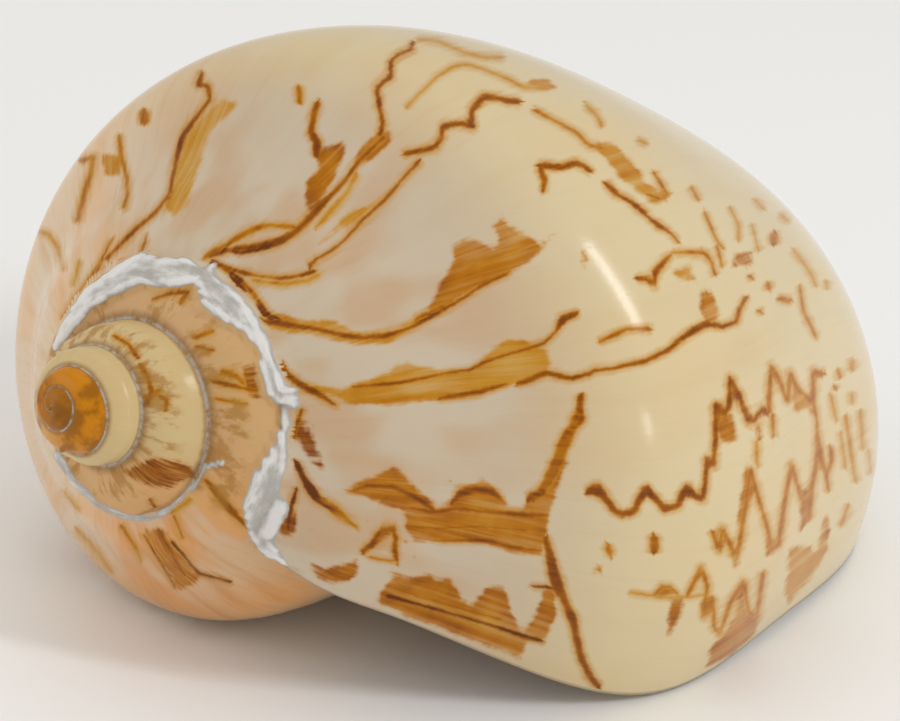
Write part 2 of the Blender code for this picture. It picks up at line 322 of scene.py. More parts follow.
BODY_LINES = (
    Line("long loop, core", BROWN, 8, (
        (203, 258, 4), (228, 250, 7), (262, 246, 8), (280, 241, 9), (296, 232, 9), (311, 217, 8),
        (329, 198, 6), (346, 180, 6), (357, 163, 6), (372, 148, 5), (385, 136, 4))),
    Line("long loop, dark part", DARK, 5, (
        (205, 257), (226, 249), (240, 253), (262, 248, 6), (280, 241, 7), (296, 231, 7), (311, 216, 6), (324, 203, 3))),
    Line("long loop, light side", TAN, 6, ((318, 226), (333, 209), (348, 191), (357, 174))),
    Line("long loop, upper side", ORANGE, 6, ((203, 258), (233, 241), (256, 228), (270, 225), (296, 227))),
    Line("short drop", ORANGE, 6, ((299, 87), (300, 102))),
    Line("crooked drop", BROWN, 8, ((318, 102), (313, 118), (311, 132), (317, 142), (317, 155))),
    Line("tall wavy line", BROWN, 5, (
        (380, 136), (383, 122), (380, 108), (377, 89), (384, 81), (391, 77), (391, 61), (398, 54),
        (411, 49), (413, 42))),
    Line("top edge line", TAN, 4, ((417, 39), (439, 41), (464, 52), (484, 57), (505, 57))),
    Line("faint arc", TAN, 3, (
        (406, 108), (419, 94), (437, 77), (454, 66), (468, 64), (480, 68), (494, 73), (509, 79),
        (523, 87), (551, 88))),
    Line("second loop", BROWN, 4, (
        (309, 267, 5), (315, 260), (330, 252, 3), (344, 241, 3), (357, 226, 4), (370, 213), (385, 200, 5),
        (396, 187), (409, 172), (420, 161, 5))),
    Line("hooked line", BROWN, 6, (
        (403, 154), (422, 150), (435, 147, 8), (442, 137), (443, 126), (462, 123), (472, 126), (472, 110),
        (484, 97, 9), (500, 98), (507, 101), (521, 101))),
    Line("dotted arc", ORANGE, 4, ((533, 109), (554, 120), (578, 133), (590, 146), (604, 148))),
    Line("third loop", BROWN, 5, (
        (211, 263), (237, 271), (256, 276), (283, 279), (304, 275), (320, 270))),
    Line("fourth loop", BROWN, 5, (
        (265, 322, 7), (287, 325, 7), (311, 328, 6), (333, 333, 5), (357, 338, 6), (385, 336, 6), (403, 331),
        (422, 322), (440, 311), (459, 301, 4), (480, 287, 4), (510, 272, 4))),
    Line("fourth loop, dark part", DARK, 3, ((345, 337), (362, 338), (385, 336), (403, 330), (424, 321))),
    Line("fourth loop, dark start", DARK, 4, ((268, 322), (282, 325), (298, 325, 2))),
    Line("fourth loop, branch", ORANGE, 4, ((413, 320), (431, 313), (445, 304))),
    # Painted shade along the callus's outer edge, in orange and dark brown.
    Line("shade under the callus edge", ORANGE, 6, ((212, 260, 4), (232, 273), (249, 288), (260, 303), (273, 323, 7))),
    Line("callus edge shade, dark part one", DARK, 7, ((231, 276, 4), (238, 283), (247, 291, 4))),
    Line("callus edge shade, dark part two", DARK, 6, ((257, 304, 3), (264, 314), (280, 319, 3))),
    Line("edge shade", BROWN, 7, ((281, 364, 6), (288, 376), (303, 386), (322, 396), (340, 408, 3))),
    Line("fifth loop, core", BROWN, 4, (
        (354, 387), (376, 385), (398, 383), (421, 379), (447, 373), (471, 370), (486, 362), (506, 355),
        (528, 349), (545, 343), (556, 332), (564, 319, 8), (580, 312))),
    Line("fifth loop, underside", BROWN, 6, ((439, 399, 3), (463, 395), (484, 391), (508, 384, 3))),
    Line("fifth loop, tail", BROWN, 5, (
        (517, 384, 7), (532, 379, 7), (547, 373, 7), (571, 379), (590, 374), (593, 371), (614, 369),
        (623, 366), (645, 362), (670, 350), (679, 341, 6), (694, 331, 7), (706, 324, 8), (723, 327),
        (737, 322), (740, 310), (747, 297))),
    Line("suture bar two", DARK, 8, ((296, 462, 6), (304, 479, 9), (313, 493, 11), (321, 503, 9), (330, 507, 4))),
    Line("suture bar two, tail", ORANGE, 9, ((322, 500), (340, 514), (357, 528, 4))),
    Line("third loop, gold side", TAN, 5, ((252, 280), (280, 284), (305, 282), (324, 271))),
    Line("tall tent, upper arm", BROWN, 9, (
        (582, 395, 6), (580, 410), (582, 421), (569, 432), (562, 445), (560, 456), (558, 464), (551, 479),
        (543, 492), (530, 499))),
    Line("tall tent, lower arm", BROWN, 7, (
        (546, 539, 8), (551, 560, 10), (556, 582, 12), (565, 601, 10), (574, 624, 9), (581, 658, 8), (590, 676),
        (599, 688))),
    Line("tall tent, dark knot", DARK, 4, ((531, 587, 2), (548, 588), (566, 590, 5))),
    Line("tall tent, broad side", ORANGE, 12, ((579, 412, 7), (571, 432), (563, 446), (558, 462), (548, 484), (534, 500, 7))),
    Line("tent band, first peak", BROWN, 7, ((347, 492, 3), (370, 486), (392, 487), (416, 497), (437, 513, 5))),
    Line("tent band, second peak", BROWN, 8, ((451, 505, 4), (462, 493), (478, 490), (492, 492), (504, 502, 4))),
    Line("tent band, middle streak", BROWN, 6, ((412, 509, 3), (436, 513), (455, 509, 4), (490, 513), (546, 516))),
    Line("tent band, low streak", BROWN, 4, ((430, 542, 2), (444, 541), (490, 541), (513, 548), (545, 552))),
    Line("tent band, thin streak", BROWN, 2, ((408, 527), (440, 529), (480, 527), (530, 531))),
    Line("lip band, thin streak", BROWN, 2.5, ((389, 588), (421, 598), (467, 611), (503, 621))),
    # Painted shade beside the callus.
    Line("painted shade next to the callus", BROWN, 6, ((303, 408, 3), (298, 422), (294, 440, 3))),
    Line("bar three, dark side", DARK, 6, ((297, 488, 3), (292, 508), (288, 530, 4))),
    Line("small tent", BROWN, 7, (
        (363, 552), (372, 546), (381, 532), (390, 525), (396, 536), (395, 555), (399, 562))),
    Line("small tent, foot", ORANGE, 2.5, ((363, 556), (380, 560), (399, 562))),
    Line("lip band, inner line", DARK, 4, ((382, 595), (444, 612), (490, 626), (526, 637), (544, 642))),
    Line("upper zigzag", BROWN, 6, (
        (588, 493, 7), (597, 489, 13), (606, 499, 8), (615, 511, 8), (624, 515, 9), (635, 512, 8), (639, 502, 8),
        (647, 490, 9), (654, 498), (665, 509, 8), (679, 506), (683, 495, 8), (688, 488, 8), (695, 497),
        (703, 500), (706, 482, 5), (708, 459), (714, 466), (716, 444), (717, 404), (724, 417), (730, 406),
        (731, 379), (740, 397), (749, 421, 8), (755, 421), (764, 408), (769, 415))),
    Line("upper zigzag, right end", ORANGE, 6, (
        (769, 415), (772, 366, 4), (780, 381), (788, 401), (791, 375), (798, 390), (807, 397), (813, 404),
        (814, 372), (822, 375, 9))),
    Line("lower zigzag", ORANGE, 5, (
        (713, 533), (720, 551), (723, 529), (735, 555, 7), (740, 546), (746, 506), (751, 470), (760, 502),
        (769, 533), (772, 551), (779, 546), (784, 511), (792, 466), (800, 493), (804, 506), (811, 497),
        (815, 475), (819, 446))),
    Line("right side drop", ORANGE, 5, ((831, 447), (832, 463), (827, 475), (829, 493, 3))),
    Line("zigzag's right drop", ORANGE, 5, ((813, 401), (817, 417, 3), (818, 436), (820, 455, 8), (827, 475, 4))),
    Line("right edge spot one", TAN, 6, ((853, 361), (852, 370))),
    Line("right edge spot two", TAN, 3, ((852, 393), (853, 405))),
    Line("right edge spot three", TAN, 4, ((838, 370), (841, 379))),
    Line("right edge spot four", ORANGE, 5, ((835, 387), (837, 390))),
    Line("right edge drop one", TAN, 3, ((831, 394), (837, 422))),
    Line("right edge drop two", TAN, 4, ((846, 416), (851, 450), (856, 482))),
    Line("right edge drop three", TAN, 3, ((841, 432), (846, 470))),
    Line("right edge drop four", TAN, 4, ((861, 411), (863, 450))),
    Line("right edge drop five", TAN, 3, ((869, 450), (871, 475))),
    Line("right edge drop six", TAN, 4, ((849, 506), (841, 527))),
    Line("right low drop", ORANGE, 6, ((813, 483), (811, 500), (809, 519))),
    Line("arch", ORANGE, 4, ((655, 596), (662, 588), (671, 588), (679, 596))),
    Line("growth line under the arch", TAN, 2, ((630, 593), (660, 598), (690, 598), (710, 595))),
    Line("zigzag gap, low streak", TAN, 3, ((757, 440), (758, 468))),
    Line("zigzag gap, right streak", ORANGE, 5, ((773, 415), (774, 438, 3))),
    Line("small tents", ORANGE, 5, (
        (688, 597), (695, 582), (702, 569, 6), (708, 587), (704, 618), (713, 600), (715, 629), (720, 636),
        (731, 604), (744, 582), (749, 613), (757, 618), (764, 573))),
    Line("left spot", ORANGE, 9, ((608, 547), (611, 556))),
    Line("middle spot", ORANGE, 9, ((655, 538), (655, 551))),
    Line("little spot", ORANGE, 5, ((598, 568), (600, 571))),
    Line("shoulder hook", BROWN, 8, ((539, 166), (553, 167), (561, 168, 6), (575, 163), (585, 166, 6), (593, 173, 4))),
    Line("shoulder hook, stem", BROWN, 8, ((541, 167), (545, 180), (543, 192, 4))),
    Line("shoulder line", BROWN, 5, (
        (605, 183), (614, 191, 7), (619, 195, 3), (633, 203), (645, 213), (649, 218, 3), (660, 226, 6),
        (670, 232, 3), (680, 243, 2))),
    Line("upper smudge", TAN, 4, ((585, 103), (600, 119), (602, 127))),
    Line("upper dash", ORANGE, 3, ((637, 138), (648, 145))),
    Line("fill's dark end", BROWN, 5, ((648, 194), (660, 199))),
    Line("thin slope one", ORANGE, 3, ((654, 172), (669, 196))),
    Line("thin slope two", ORANGE, 3, ((691, 186), (700, 202))),
    Line("thin slope three", ORANGE, 3, ((704, 210), (717, 240), (724, 249))),
    Line("elbow", BROWN, 6, ((637, 278), (647, 279), (655, 287, 4), (656, 272, 8), (666, 260, 7), (673, 254, 3))),
    Line("cluster, level", ORANGE, 4, ((672, 253), (689, 252), (707, 253), (715, 268))),
    Line("cluster, slope", BROWN, 3, ((700, 249), (711, 260), (716, 275))),
    Line("cluster, drop", ORANGE, 3, ((717, 244), (723, 268))),
    Line("short dash", ORANGE, 4, ((600, 342, 3), (615, 335, 5), (628, 329, 3), (652, 329, 5))),
    Line("right slope one", TAN, 3, ((793, 249), (811, 273), (817, 288))),
    Line("right slope two", ORANGE, 3, ((800, 286), (804, 312), (818, 340))),
    Line("right slope three", TAN, 3, ((730, 207), (739, 225), (739, 242))),
    Line("right slope four", TAN, 2, ((752, 223), (759, 251))),
    Line("right slope five", TAN, 4, ((780, 214), (790, 222))),
    Line("right slope six", TAN, 3, ((754, 199), (765, 210))),
    Line("right spot one", ORANGE, 9, ((774, 235), (775, 242))),
    Line("right spot two", ORANGE, 6, ((768, 283), (770, 290))),
    Line("right spot three", ORANGE, 7, ((780, 299), (791, 301))),
    Line("right spot four", ORANGE, 5, ((750, 276), (753, 279))),
    Line("right spot five", ORANGE, 4, ((758, 310), (763, 313))),
    Line("right spot six", TAN, 5, ((826, 282), (828, 288))),
    Line("left streak", BROWN, 5, (
        (202, 72), (199, 84, 7), (208, 86), (210, 99), (204, 107), (192, 123), (182, 137), (178, 155),
        (172, 179), (170, 194), (156, 212), (137, 228), (123, 242), (105, 260))),
    Line("far left streak", ORANGE, 5, ((119, 135), (121, 155), (127, 179), (127, 196), (123, 210))),
    Line("outer left streak", ORANGE, 6, ((81, 161), (93, 157), (91, 171), (83, 198), (77, 222))),
    Line("left drop", ORANGE, 9, ((144, 112), (144, 122))),
    Line("faint left edge", TAN, 5, ((40, 232), (48, 234), (58, 248), (63, 270))),
    Line("thin left streak", BROWN, 3, ((113, 238), (103, 256), (97, 273))),
    Line("thin dark streak", BROWN, 3, ((148, 234), (141, 252))),
    Line("left edge streak one", ORANGE, 3, ((114, 237), (96, 269), (77, 294), (61, 320, 2))),
    Line("left edge streak two", TAN, 3, ((80, 260), (73, 287))),
    Line("low left streak one", TAN, 3, ((61, 490), (80, 512))),
    Line("low left streak two", TAN, 4, ((75, 528), (96, 551), (112, 574))),
    Line("low left streak three", ORANGE, 4, ((121, 526), (135, 547), (142, 563, 2))),
    Line("gold along the early suture", TAN, 5, ((173, 512), (186, 504), (199, 492))),
    Line("low streak one", BROWN, 3, ((143, 534), (160, 562), (176, 589))),
    Line("low streak two", BROWN, 3, ((161, 534), (173, 556), (185, 577))),
    Line("low streak three", DARK, 3, ((171, 541), (199, 574), (232, 583))),
    Line("low streak four", BROWN, 3, ((173, 513), (183, 539))),
)

BODY_PATCHES = (
    Patch("zigzag fill", TAN, ((791, 396), (812, 397), (811, 411), (797, 413))),
    Patch("right low fill", ORANGE, ((823, 525), (829, 523), (830, 540), (820, 548))),
    Patch("suture wedge", BROWN, ((299, 405), (307, 424), (328, 478), (317, 468), (303, 448), (293, 434))),
    Patch("suture bar three", BROWN, ((290, 494), (298, 514), (297, 533), (288, 543), (278, 527), (287, 510))),
    Patch("low streaks fill", ORANGE, ((146, 531), (160, 530), (200, 577), (196, 584), (179, 592), (170, 575))),
    Patch("long loop, broad end", ORANGE, (
        (353, 163), (362, 145), (378, 132), (391, 133), (388, 145), (374, 158), (362, 163))),
    Patch("fourth loop, gold", TAN, (
        (258, 305), (272, 312), (290, 318), (318, 320), (336, 321), (350, 329), (366, 334), (392, 331), (412, 318),
        (426, 317), (412, 331), (392, 344), (362, 345), (330, 340), (300, 334), (270, 330))),
    Patch("drop fill", ORANGE, (
        (318, 152), (345, 142), (342, 165), (329, 190), (311, 211), (306, 192), (306, 181), (317, 167))),
    Patch("second loop fill", TAN, ((318, 245), (335, 225), (345, 212), (375, 202), (385, 200), (350, 226))),
    Patch("leaf", ORANGE, (
        (451, 248), (459, 241), (476, 240), (494, 249), (500, 240), (492, 226), (502, 216), (511, 226),
        (525, 232), (540, 243), (559, 231), (546, 249), (527, 264), (514, 273), (480, 286), (459, 300),
        (440, 311), (427, 309), (437, 296), (444, 278), (453, 260))),
    Patch("fifth loop fill", TAN, (
        (300, 383), (343, 388), (391, 371), (402, 360), (421, 365), (447, 369), (471, 371), (506, 337),
        (528, 342), (549, 351), (551, 367), (545, 375), (517, 386), (484, 395), (441, 401), (387, 405),
        (348, 404), (322, 393))),
    Patch("tent band", ORANGE, (
        (340, 489), (363, 481), (379, 474), (390, 466), (404, 474), (418, 490), (431, 505), (441, 513),
        (449, 507), (461, 490), (482, 477), (493, 486), (505, 500), (514, 509), (523, 509), (530, 495),
        (544, 484), (551, 465), (560, 458), (565, 465), (558, 486), (551, 516), (546, 539), (544, 557),
        (510, 552), (475, 541), (445, 546), (409, 541), (406, 532), (405, 511), (376, 502))),
    Patch("lip band", ORANGE, (
        (390, 575), (395, 564), (406, 583), (418, 578), (427, 575), (438, 582), (450, 579), (457, 589),
        (464, 601), (473, 605), (482, 596), (491, 587), (505, 589), (510, 605), (514, 621), (521, 633),
        (530, 626), (539, 610), (542, 591), (555, 587), (558, 614), (546, 642), (528, 642), (521, 660),
        (516, 659), (475, 642), (441, 628), (409, 619), (376, 603), (381, 594))),
    Patch("lip corner", ORANGE, (
        (310, 562), (317, 571), (326, 571), (349, 564), (361, 559), (358, 573), (347, 582), (335, 585),
        (319, 578))),
    Patch("upper zigzag fill", ORANGE, ((716, 417), (724, 418), (733, 412), (739, 441), (724, 446), (719, 435))),
    Patch("arch fill", ORANGE, ((656, 594), (662, 588), (671, 588), (679, 595), (675, 598), (660, 598))),
    Patch("arch wedge", ORANGE, ((671, 600), (685, 599), (678, 620), (669, 636), (669, 616))),
    Patch("small tents fill", ORANGE, ((703, 595), (714, 597), (713, 620), (702, 616))),
    Patch("zigzag dip fill", ORANGE, ((744, 416), (753, 418), (751, 430), (746, 430))),
    Patch("zigzag gap fill", ORANGE, ((756, 425), (765, 422), (761, 441), (756, 439))),
    Patch("zigzag top fill", TAN, ((790, 380), (808, 393), (815, 415), (796, 404))),
    Patch("lower zigzag, arm fill", ORANGE, ((748, 468), (755, 488), (747, 510), (740, 531), (738, 519), (743, 498))),
    Patch("lower zigzag, dip one", ORANGE, ((730, 552), (740, 552), (738, 570), (733, 570))),
    Patch("lower zigzag, dip two", ORANGE, ((766, 537), (777, 541), (774, 558), (767, 558))),
    Patch("lower zigzag, dip three", ORANGE, ((801, 491), (812, 491), (813, 519), (800, 533))),
    Patch("lower zigzag, top fill", TAN, ((815, 452), (824, 454), (825, 471), (818, 469))),
    Patch("right arch fill", ORANGE, (
        (708, 667), (713, 645), (726, 629), (735, 607), (744, 584), (749, 613), (760, 613), (755, 638),
        (733, 656))),
    Patch("far right fill", TAN, (
        (791, 551), (807, 546), (815, 551), (827, 515), (829, 551), (811, 580), (789, 607), (784, 595))),
    Patch("shoulder fill", TAN, (
        (590, 145), (614, 142), (628, 157), (650, 186), (670, 193), (667, 205), (648, 201), (626, 181),
        (604, 157))),
    Patch("right side fill", ORANGE, ((702, 289), (711, 290), (723, 314), (709, 326), (701, 316))),
    Patch("elbow fill", TAN, ((672, 273), (691, 264), (695, 280), (681, 281))),
    Patch("right side spot", ORANGE, ((735, 253), (754, 254), (753, 264), (735, 267))),
    Patch("by the shine", TAN, ((584, 246), (590, 262), (586, 268), (580, 266))),
    Patch("top smudge", TAN, ((522, 89), (531, 78), (548, 78), (556, 89))),
    Patch("left streak fill", PALE, (
        (210, 109), (222, 98), (237, 103), (230, 111), (210, 131), (198, 171), (186, 206), (174, 216),
        (166, 206), (174, 179), (182, 147), (194, 125))),
    Patch("far left fill", TAN, ((101, 155), (119, 155), (121, 175), (104, 175))),
    # Painted shade beside the lower end of the callus.
    Patch("low wedge of shade", BROWN, ((204, 487), (206, 480), (223, 497), (242, 513), (244, 525), (220, 506))),
)

SPIRE_LINES = (
    Line("spire streak low", BROWN, 5, ((212, 381), (232, 386), (256, 391)), Whorls.SPIRE),
    Line("spire streak middle", ORANGE, 3, ((212, 398), (230, 402), (248, 404)), Whorls.SPIRE),
    Line("spire streak high", ORANGE, 5, ((192, 338), (204, 335), (214, 331)), Whorls.SPIRE),
    Line("spire streak upper", BROWN, 3, ((195, 346), (206, 349), (214, 351)), Whorls.SPIRE),
    Line("third whorl mark", BROWN, 7, ((141, 366), (148, 378), (152, 392), (146, 404)), Whorls.SPIRE),
    Line("third whorl branch", ORANGE, 6, ((143, 398), (152, 396), (160, 390)), Whorls.SPIRE),
    Line("third whorl ring", BROWN, 4, ((158, 396), (167, 400), (166, 411)), Whorls.SPIRE),
    Line("upper suture shade", BROWN, 5, ((114, 336), (128, 344), (138, 358)), Whorls.SPIRE),
    Line("shade beside the callus", BROWN, 8, ((204, 478, 4), (214, 490), (228, 507), (245, 525, 5)), Whorls.SPIRE),
    Line("gold beside the spire patch", ORANGE, 7, ((222, 372), (236, 376), (244, 384)), Whorls.SPIRE),
    Line("below the spire", BROWN, 4, ((150, 500), (158, 512), (160, 520)), Whorls.SPIRE),
    Line("peach whorl shade", BROWN, 4, ((152, 300), (170, 294), (188, 292), (180, 304)), Whorls.SPIRE),
)

SPIRE_PATCHES = (
    Patch("spire patch", BROWN, ((242, 368), (254, 364), (257, 378), (262, 404), (250, 395), (244, 388)), Whorls.SPIRE),
    # Painted shade under the spire's third whorl.
    Patch("shade under the spire", BROWN, (
        (120, 473), (136, 466), (154, 458), (176, 461), (192, 467), (197, 477), (170, 488), (140, 483)), Whorls.SPIRE),
)

CALLUS_OUTLINES = (
    (
        (58, 357), (77, 331), (98, 308), (124, 294), (143, 287), (171, 291), (195, 287), (202, 308),
        (220, 322), (244, 336), (258, 353), (258, 371), (265, 395), (280, 409), (303, 386), (283, 386),
        (282, 371), (277, 350), (263, 329), (244, 305), (232, 284), (216, 265), (183, 261), (161, 261),
        (143, 256), (121, 268), (88, 291), (67, 320), (55, 346)),
    (
        (282, 400), (282, 419), (268, 449), (251, 475), (242, 506), (246, 530), (263, 553), (291, 567),
        (298, 572), (280, 546), (275, 534), (287, 508), (289, 485), (291, 447), (294, 419), (303, 388)),
)

EARLY_SUTURE = (
    (60, 454), (79, 482), (100, 504), (126, 514), (152, 518), (173, 506), (195, 485), (209, 466), (223, 462))


def line_offsets(points: np.ndarray, corners: np.ndarray) -> tuple[np.ndarray, np.ndarray, np.ndarray]:
    """How far points lie from a line of straight runs.

    Args:
        points: The points, (count, 2).
        corners: The line's corners as x, y and half width.

    Returns:
        The distance with the sign of the line's side, the half width there, and how far the nearest
        place lies past the line's ends.
    """
    best = np.full(len(points), np.inf)
    side = np.zeros(len(points))
    square = np.zeros(len(points))
    half = np.zeros(len(points))
    past = np.zeros(len(points))
    last = len(corners) - 2
    for i in range(last + 1):
        start, run = corners[i, :2], corners[i + 1, :2] - corners[i, :2]
        length = max(float(np.hypot(*run)), 1e-9)
        off = points - start
        share = off @ run / length ** 2
        held = np.clip(share, 0, 1)
        gap = np.hypot(*(off - held[:, None] * run).T)
        cross = (run[0] * off[:, 1] - run[1] * off[:, 0]) / length
        closer = gap < best - 1e-6
        tied = (np.abs(gap - best) <= 1e-6) & (np.abs(cross) > square)
        taken = closer | tied
        side[taken] = cross[taken]
        square[taken] = np.abs(cross[taken])
        half[taken] = (corners[i, 2] + held * (corners[i + 1, 2] - corners[i, 2]))[taken]
        beyond = np.zeros(len(points))
        if i == 0:
            beyond = np.maximum(beyond, -share * length)
        if i == last:
            beyond = np.maximum(beyond, (share - 1) * length)
        past[taken] = beyond[taken]
        best = np.minimum(best, gap)
    return np.copysign(best, side), half, past


def depth_inside(points: np.ndarray, outline: tuple) -> np.ndarray:
    """Distance of points from a closed outline, above 0 inside it."""
    ring = np.array(outline, float)
    ends = np.roll(ring, -1, axis=0)
    gap = np.full(len(points), np.inf)
    crossings = np.zeros(len(points), int)
    for start, end in zip(ring, ends):
        run = end - start
        off = points - start
        held = np.clip(off @ run / max(run @ run, 1e-9), 0, 1)
        gap = np.minimum(gap, np.hypot(*(off - held[:, None] * run).T))
        above = (points[:, 1] < start[1]) != (points[:, 1] < end[1])
        height = end[1] - start[1] if end[1] != start[1] else 1e-9
        crossings += above & (points[:, 0] < start[0] + (points[:, 1] - start[1]) * run[0] / height)
    return np.where(crossings % 2 == 1, gap, -gap)


@dataclass
class PaintJob:
    """The marks, worked out at each point of the skin: lines in a few layers, and patches."""

    layers: int = 8
    clear: float = 3.2
    reach: float = 1.6
    nothing: float = -2.0
    offset: list = field(default_factory=list)
    patch: np.ndarray | None = None
    tone: np.ndarray | None = None
    stroke: np.ndarray | None = None
    nearest: np.ndarray | None = None

    def start(self, count: int) -> None:
        """Clear the layers for a skin of so many points."""
        self.offset = [np.tile([self.clear, 0.1, 0.0], (count, 1)) for _ in range(self.layers)]
        self.patch = np.full(count, self.nothing)
        self.tone, self.stroke = np.full(count, ORANGE), np.full(count, ORANGE)
        self.nearest = np.full((2, count), 1e9)

    def add_tone(self, kept: np.ndarray, nearest: np.ndarray, held: np.ndarray, away: np.ndarray, tone: float) -> None:
        """Give points the tone of the mark that is nearest to them.

        Args:
            kept: The tones, of the lines or of the patches.
            nearest: How far the nearest mark of that kind lies from each point.
            held: Which points are looked at.
            away: How far the mark lies from them.
            tone: The mark's tone.
        """
        closer = away < nearest[held]
        nearest[held[closer]] = away[closer]
        kept[held[closer]] = tone

    def add_line(self, places: np.ndarray, allowed: np.ndarray, line: Line, scale: float) -> None:
        """Paint a line into the first layer where nothing lies near it.

        Args:
            places: Places of all points on the paper that the line is drawn on.
            allowed: Which points may take it.
            line: The line.
            scale: Paper units in a mm.
        """
        corners = line.corners()
        margin = self.clear * scale
        low = corners[:, :2].min(axis=0) - margin
        high = corners[:, :2].max(axis=0) + margin
        held = np.flatnonzero(allowed & ((places > low) & (places < high)).all(axis=1))
        if not len(held):
            return
        offset, half, past = (value / scale for value in line_offsets(places[held], corners))
        near = np.abs(offset) < self.clear
        held, offset, half, past = held[near], offset[near], half[near], past[near]
        strength = ease(1 - past / np.maximum(half * 2, 0.3)) * ease((half + self.reach - np.abs(offset)) / 0.5)
        layer = next((l for l in self.offset if not l[held, 2].any()), self.offset[-1])
        better = np.abs(offset) < np.abs(layer[held, 0])
        layer[held[better]] = np.stack([offset, half, strength], axis=1)[better]
        self.add_tone(self.stroke, self.nearest[0], held, np.abs(offset) - half, line.tone)

    def add_patch(self, places: np.ndarray, allowed: np.ndarray, patch: Patch, scale: float) -> None:
        """Paint a patch: arguments as for a line."""
        outline = np.array(patch.outline, float)
        margin = self.clear * scale
        low, high = outline.min(axis=0) - margin, outline.max(axis=0) + margin
        held = np.flatnonzero(allowed & ((places > low) & (places < high)).all(axis=1))
        if not len(held):
            return
        inside = depth_inside(places[held], patch.outline) / scale
        self.patch[held] = np.maximum(self.patch[held], inside)
        self.add_tone(self.tone, self.nearest[1], held, -inside, patch.tone)


@dataclass(frozen=True)
class FarSideMarks:
    """Zigzags and tents for the sides that the photo doesn't show, on paper of turns and stations in mm."""

    seed: int = 7
    turn_mm: float = 330.0
    station_mm: float = 22.0
    first_turn: float = -0.97
    last_turn: float = -0.01
    spacing: float = 12.5
    swing: float = 4.5
    stride: float = 3.4
    first_station: float = 2.3
    last_station: float = 6.3

    def lines(self) -> list[Line]:
        """The zigzag lines, from the shoulder towards the front end."""
        draw = np.random.default_rng(self.seed)
        made = []
        count = int((self.last_turn - self.first_turn) * self.turn_mm / self.spacing)
        for k in range(count):
            across = self.first_turn * self.turn_mm + (k + draw.uniform(0.2, 0.8)) * self.spacing
            along = (self.first_station + draw.uniform(0, 0.6)) * self.station_mm
            end = (self.last_station - draw.uniform(0, 1.2)) * self.station_mm
            side, path = 1, []
            while along < end:
                path.append((across + side * self.swing * draw.uniform(0.25, 1.0), along, draw.uniform(0.5, 1.3)))
                along += self.stride * draw.uniform(0.5, 1.7)
                across += draw.uniform(-1.0, 1.2)
                side = -side
                if draw.uniform() < 0.08 and len(path) > 3:
                    made.append(Line(f"zigzag {k}", draw.choice([ORANGE, BROWN]), 1.0, tuple(path)))
                    path, along = [], along + draw.uniform(4, 14)
            if len(path) > 2:
                made.append(Line(f"zigzag {k}", draw.choice([ORANGE, BROWN]), 1.0, tuple(path)))
        return made

    def patches(self) -> list[Patch]:
        """The filled tents, in two rows round the body whorl."""
        draw = np.random.default_rng(self.seed + 1)
        made = []
        for row, station in enumerate((3.7, 5.1)):
            across = self.first_turn * self.turn_mm
            while across < self.last_turn * self.turn_mm:
                wide, tall = draw.uniform(5, 10), draw.uniform(5, 9)
                base = station * self.station_mm + draw.uniform(-3, 3)
                if draw.uniform() < 0.7:
                    made.append(Patch(f"tent {row}", draw.choice([TAN, ORANGE]), (
                        (across, base), (across + wide * 0.5, base - tall), (across + wide, base),
                        (across + wide * 0.8, base + 2.5), (across + wide * 0.3, base + 2.0))))
                across += wide + draw.uniform(0, 9)
        return made


class Wire:
    """A shader value that adds its own Math nodes when Python works with it."""

    def __init__(self, bench: "Bench", socket: bpy.types.NodeSocket) -> None:
        """Hold a node's output on its bench."""
        self.bench, self.socket = bench, socket

    def __add__(self, other: Any) -> "Wire":
        """Sum."""
        return self.bench.math("ADD", self, other)

    __radd__ = __add__

    def __sub__(self, other: Any) -> "Wire":
        """Difference."""
        return self.bench.math("SUBTRACT", self, other)

    def __rsub__(self, other: Any) -> "Wire":
        """Difference from a number."""
        return self.bench.math("SUBTRACT", other, self)

    def __mul__(self, other: Any) -> "Wire":
        """Product."""
        return self.bench.math("MULTIPLY", self, other)

    __rmul__ = __mul__

    def __truediv__(self, other: Any) -> "Wire":
        """Share."""
        return self.bench.math("DIVIDE", self, other)

    def __abs__(self) -> "Wire":
        """Size without sign."""
        return self.bench.math("ABSOLUTE", self)

    def clipped(self) -> "Wire":
        """The value held between 0 and 1."""
        return self.bench.math("ADD", self, 0.0, clamp=True)

    def above(self, low: float, high: float) -> "Wire":
        """Ease from 0 at low to 1 at high."""
        made = self.bench.node("ShaderNodeMapRange", {"interpolation_type": "SMOOTHSTEP"}, {
            "Value": self, "From Min": low, "From Max": high})
        return Wire(self.bench, made.outputs["Result"])

    def most(self, other: "Wire") -> "Wire":
        """The larger of two values."""
        return self.bench.math("MAXIMUM", self, other)


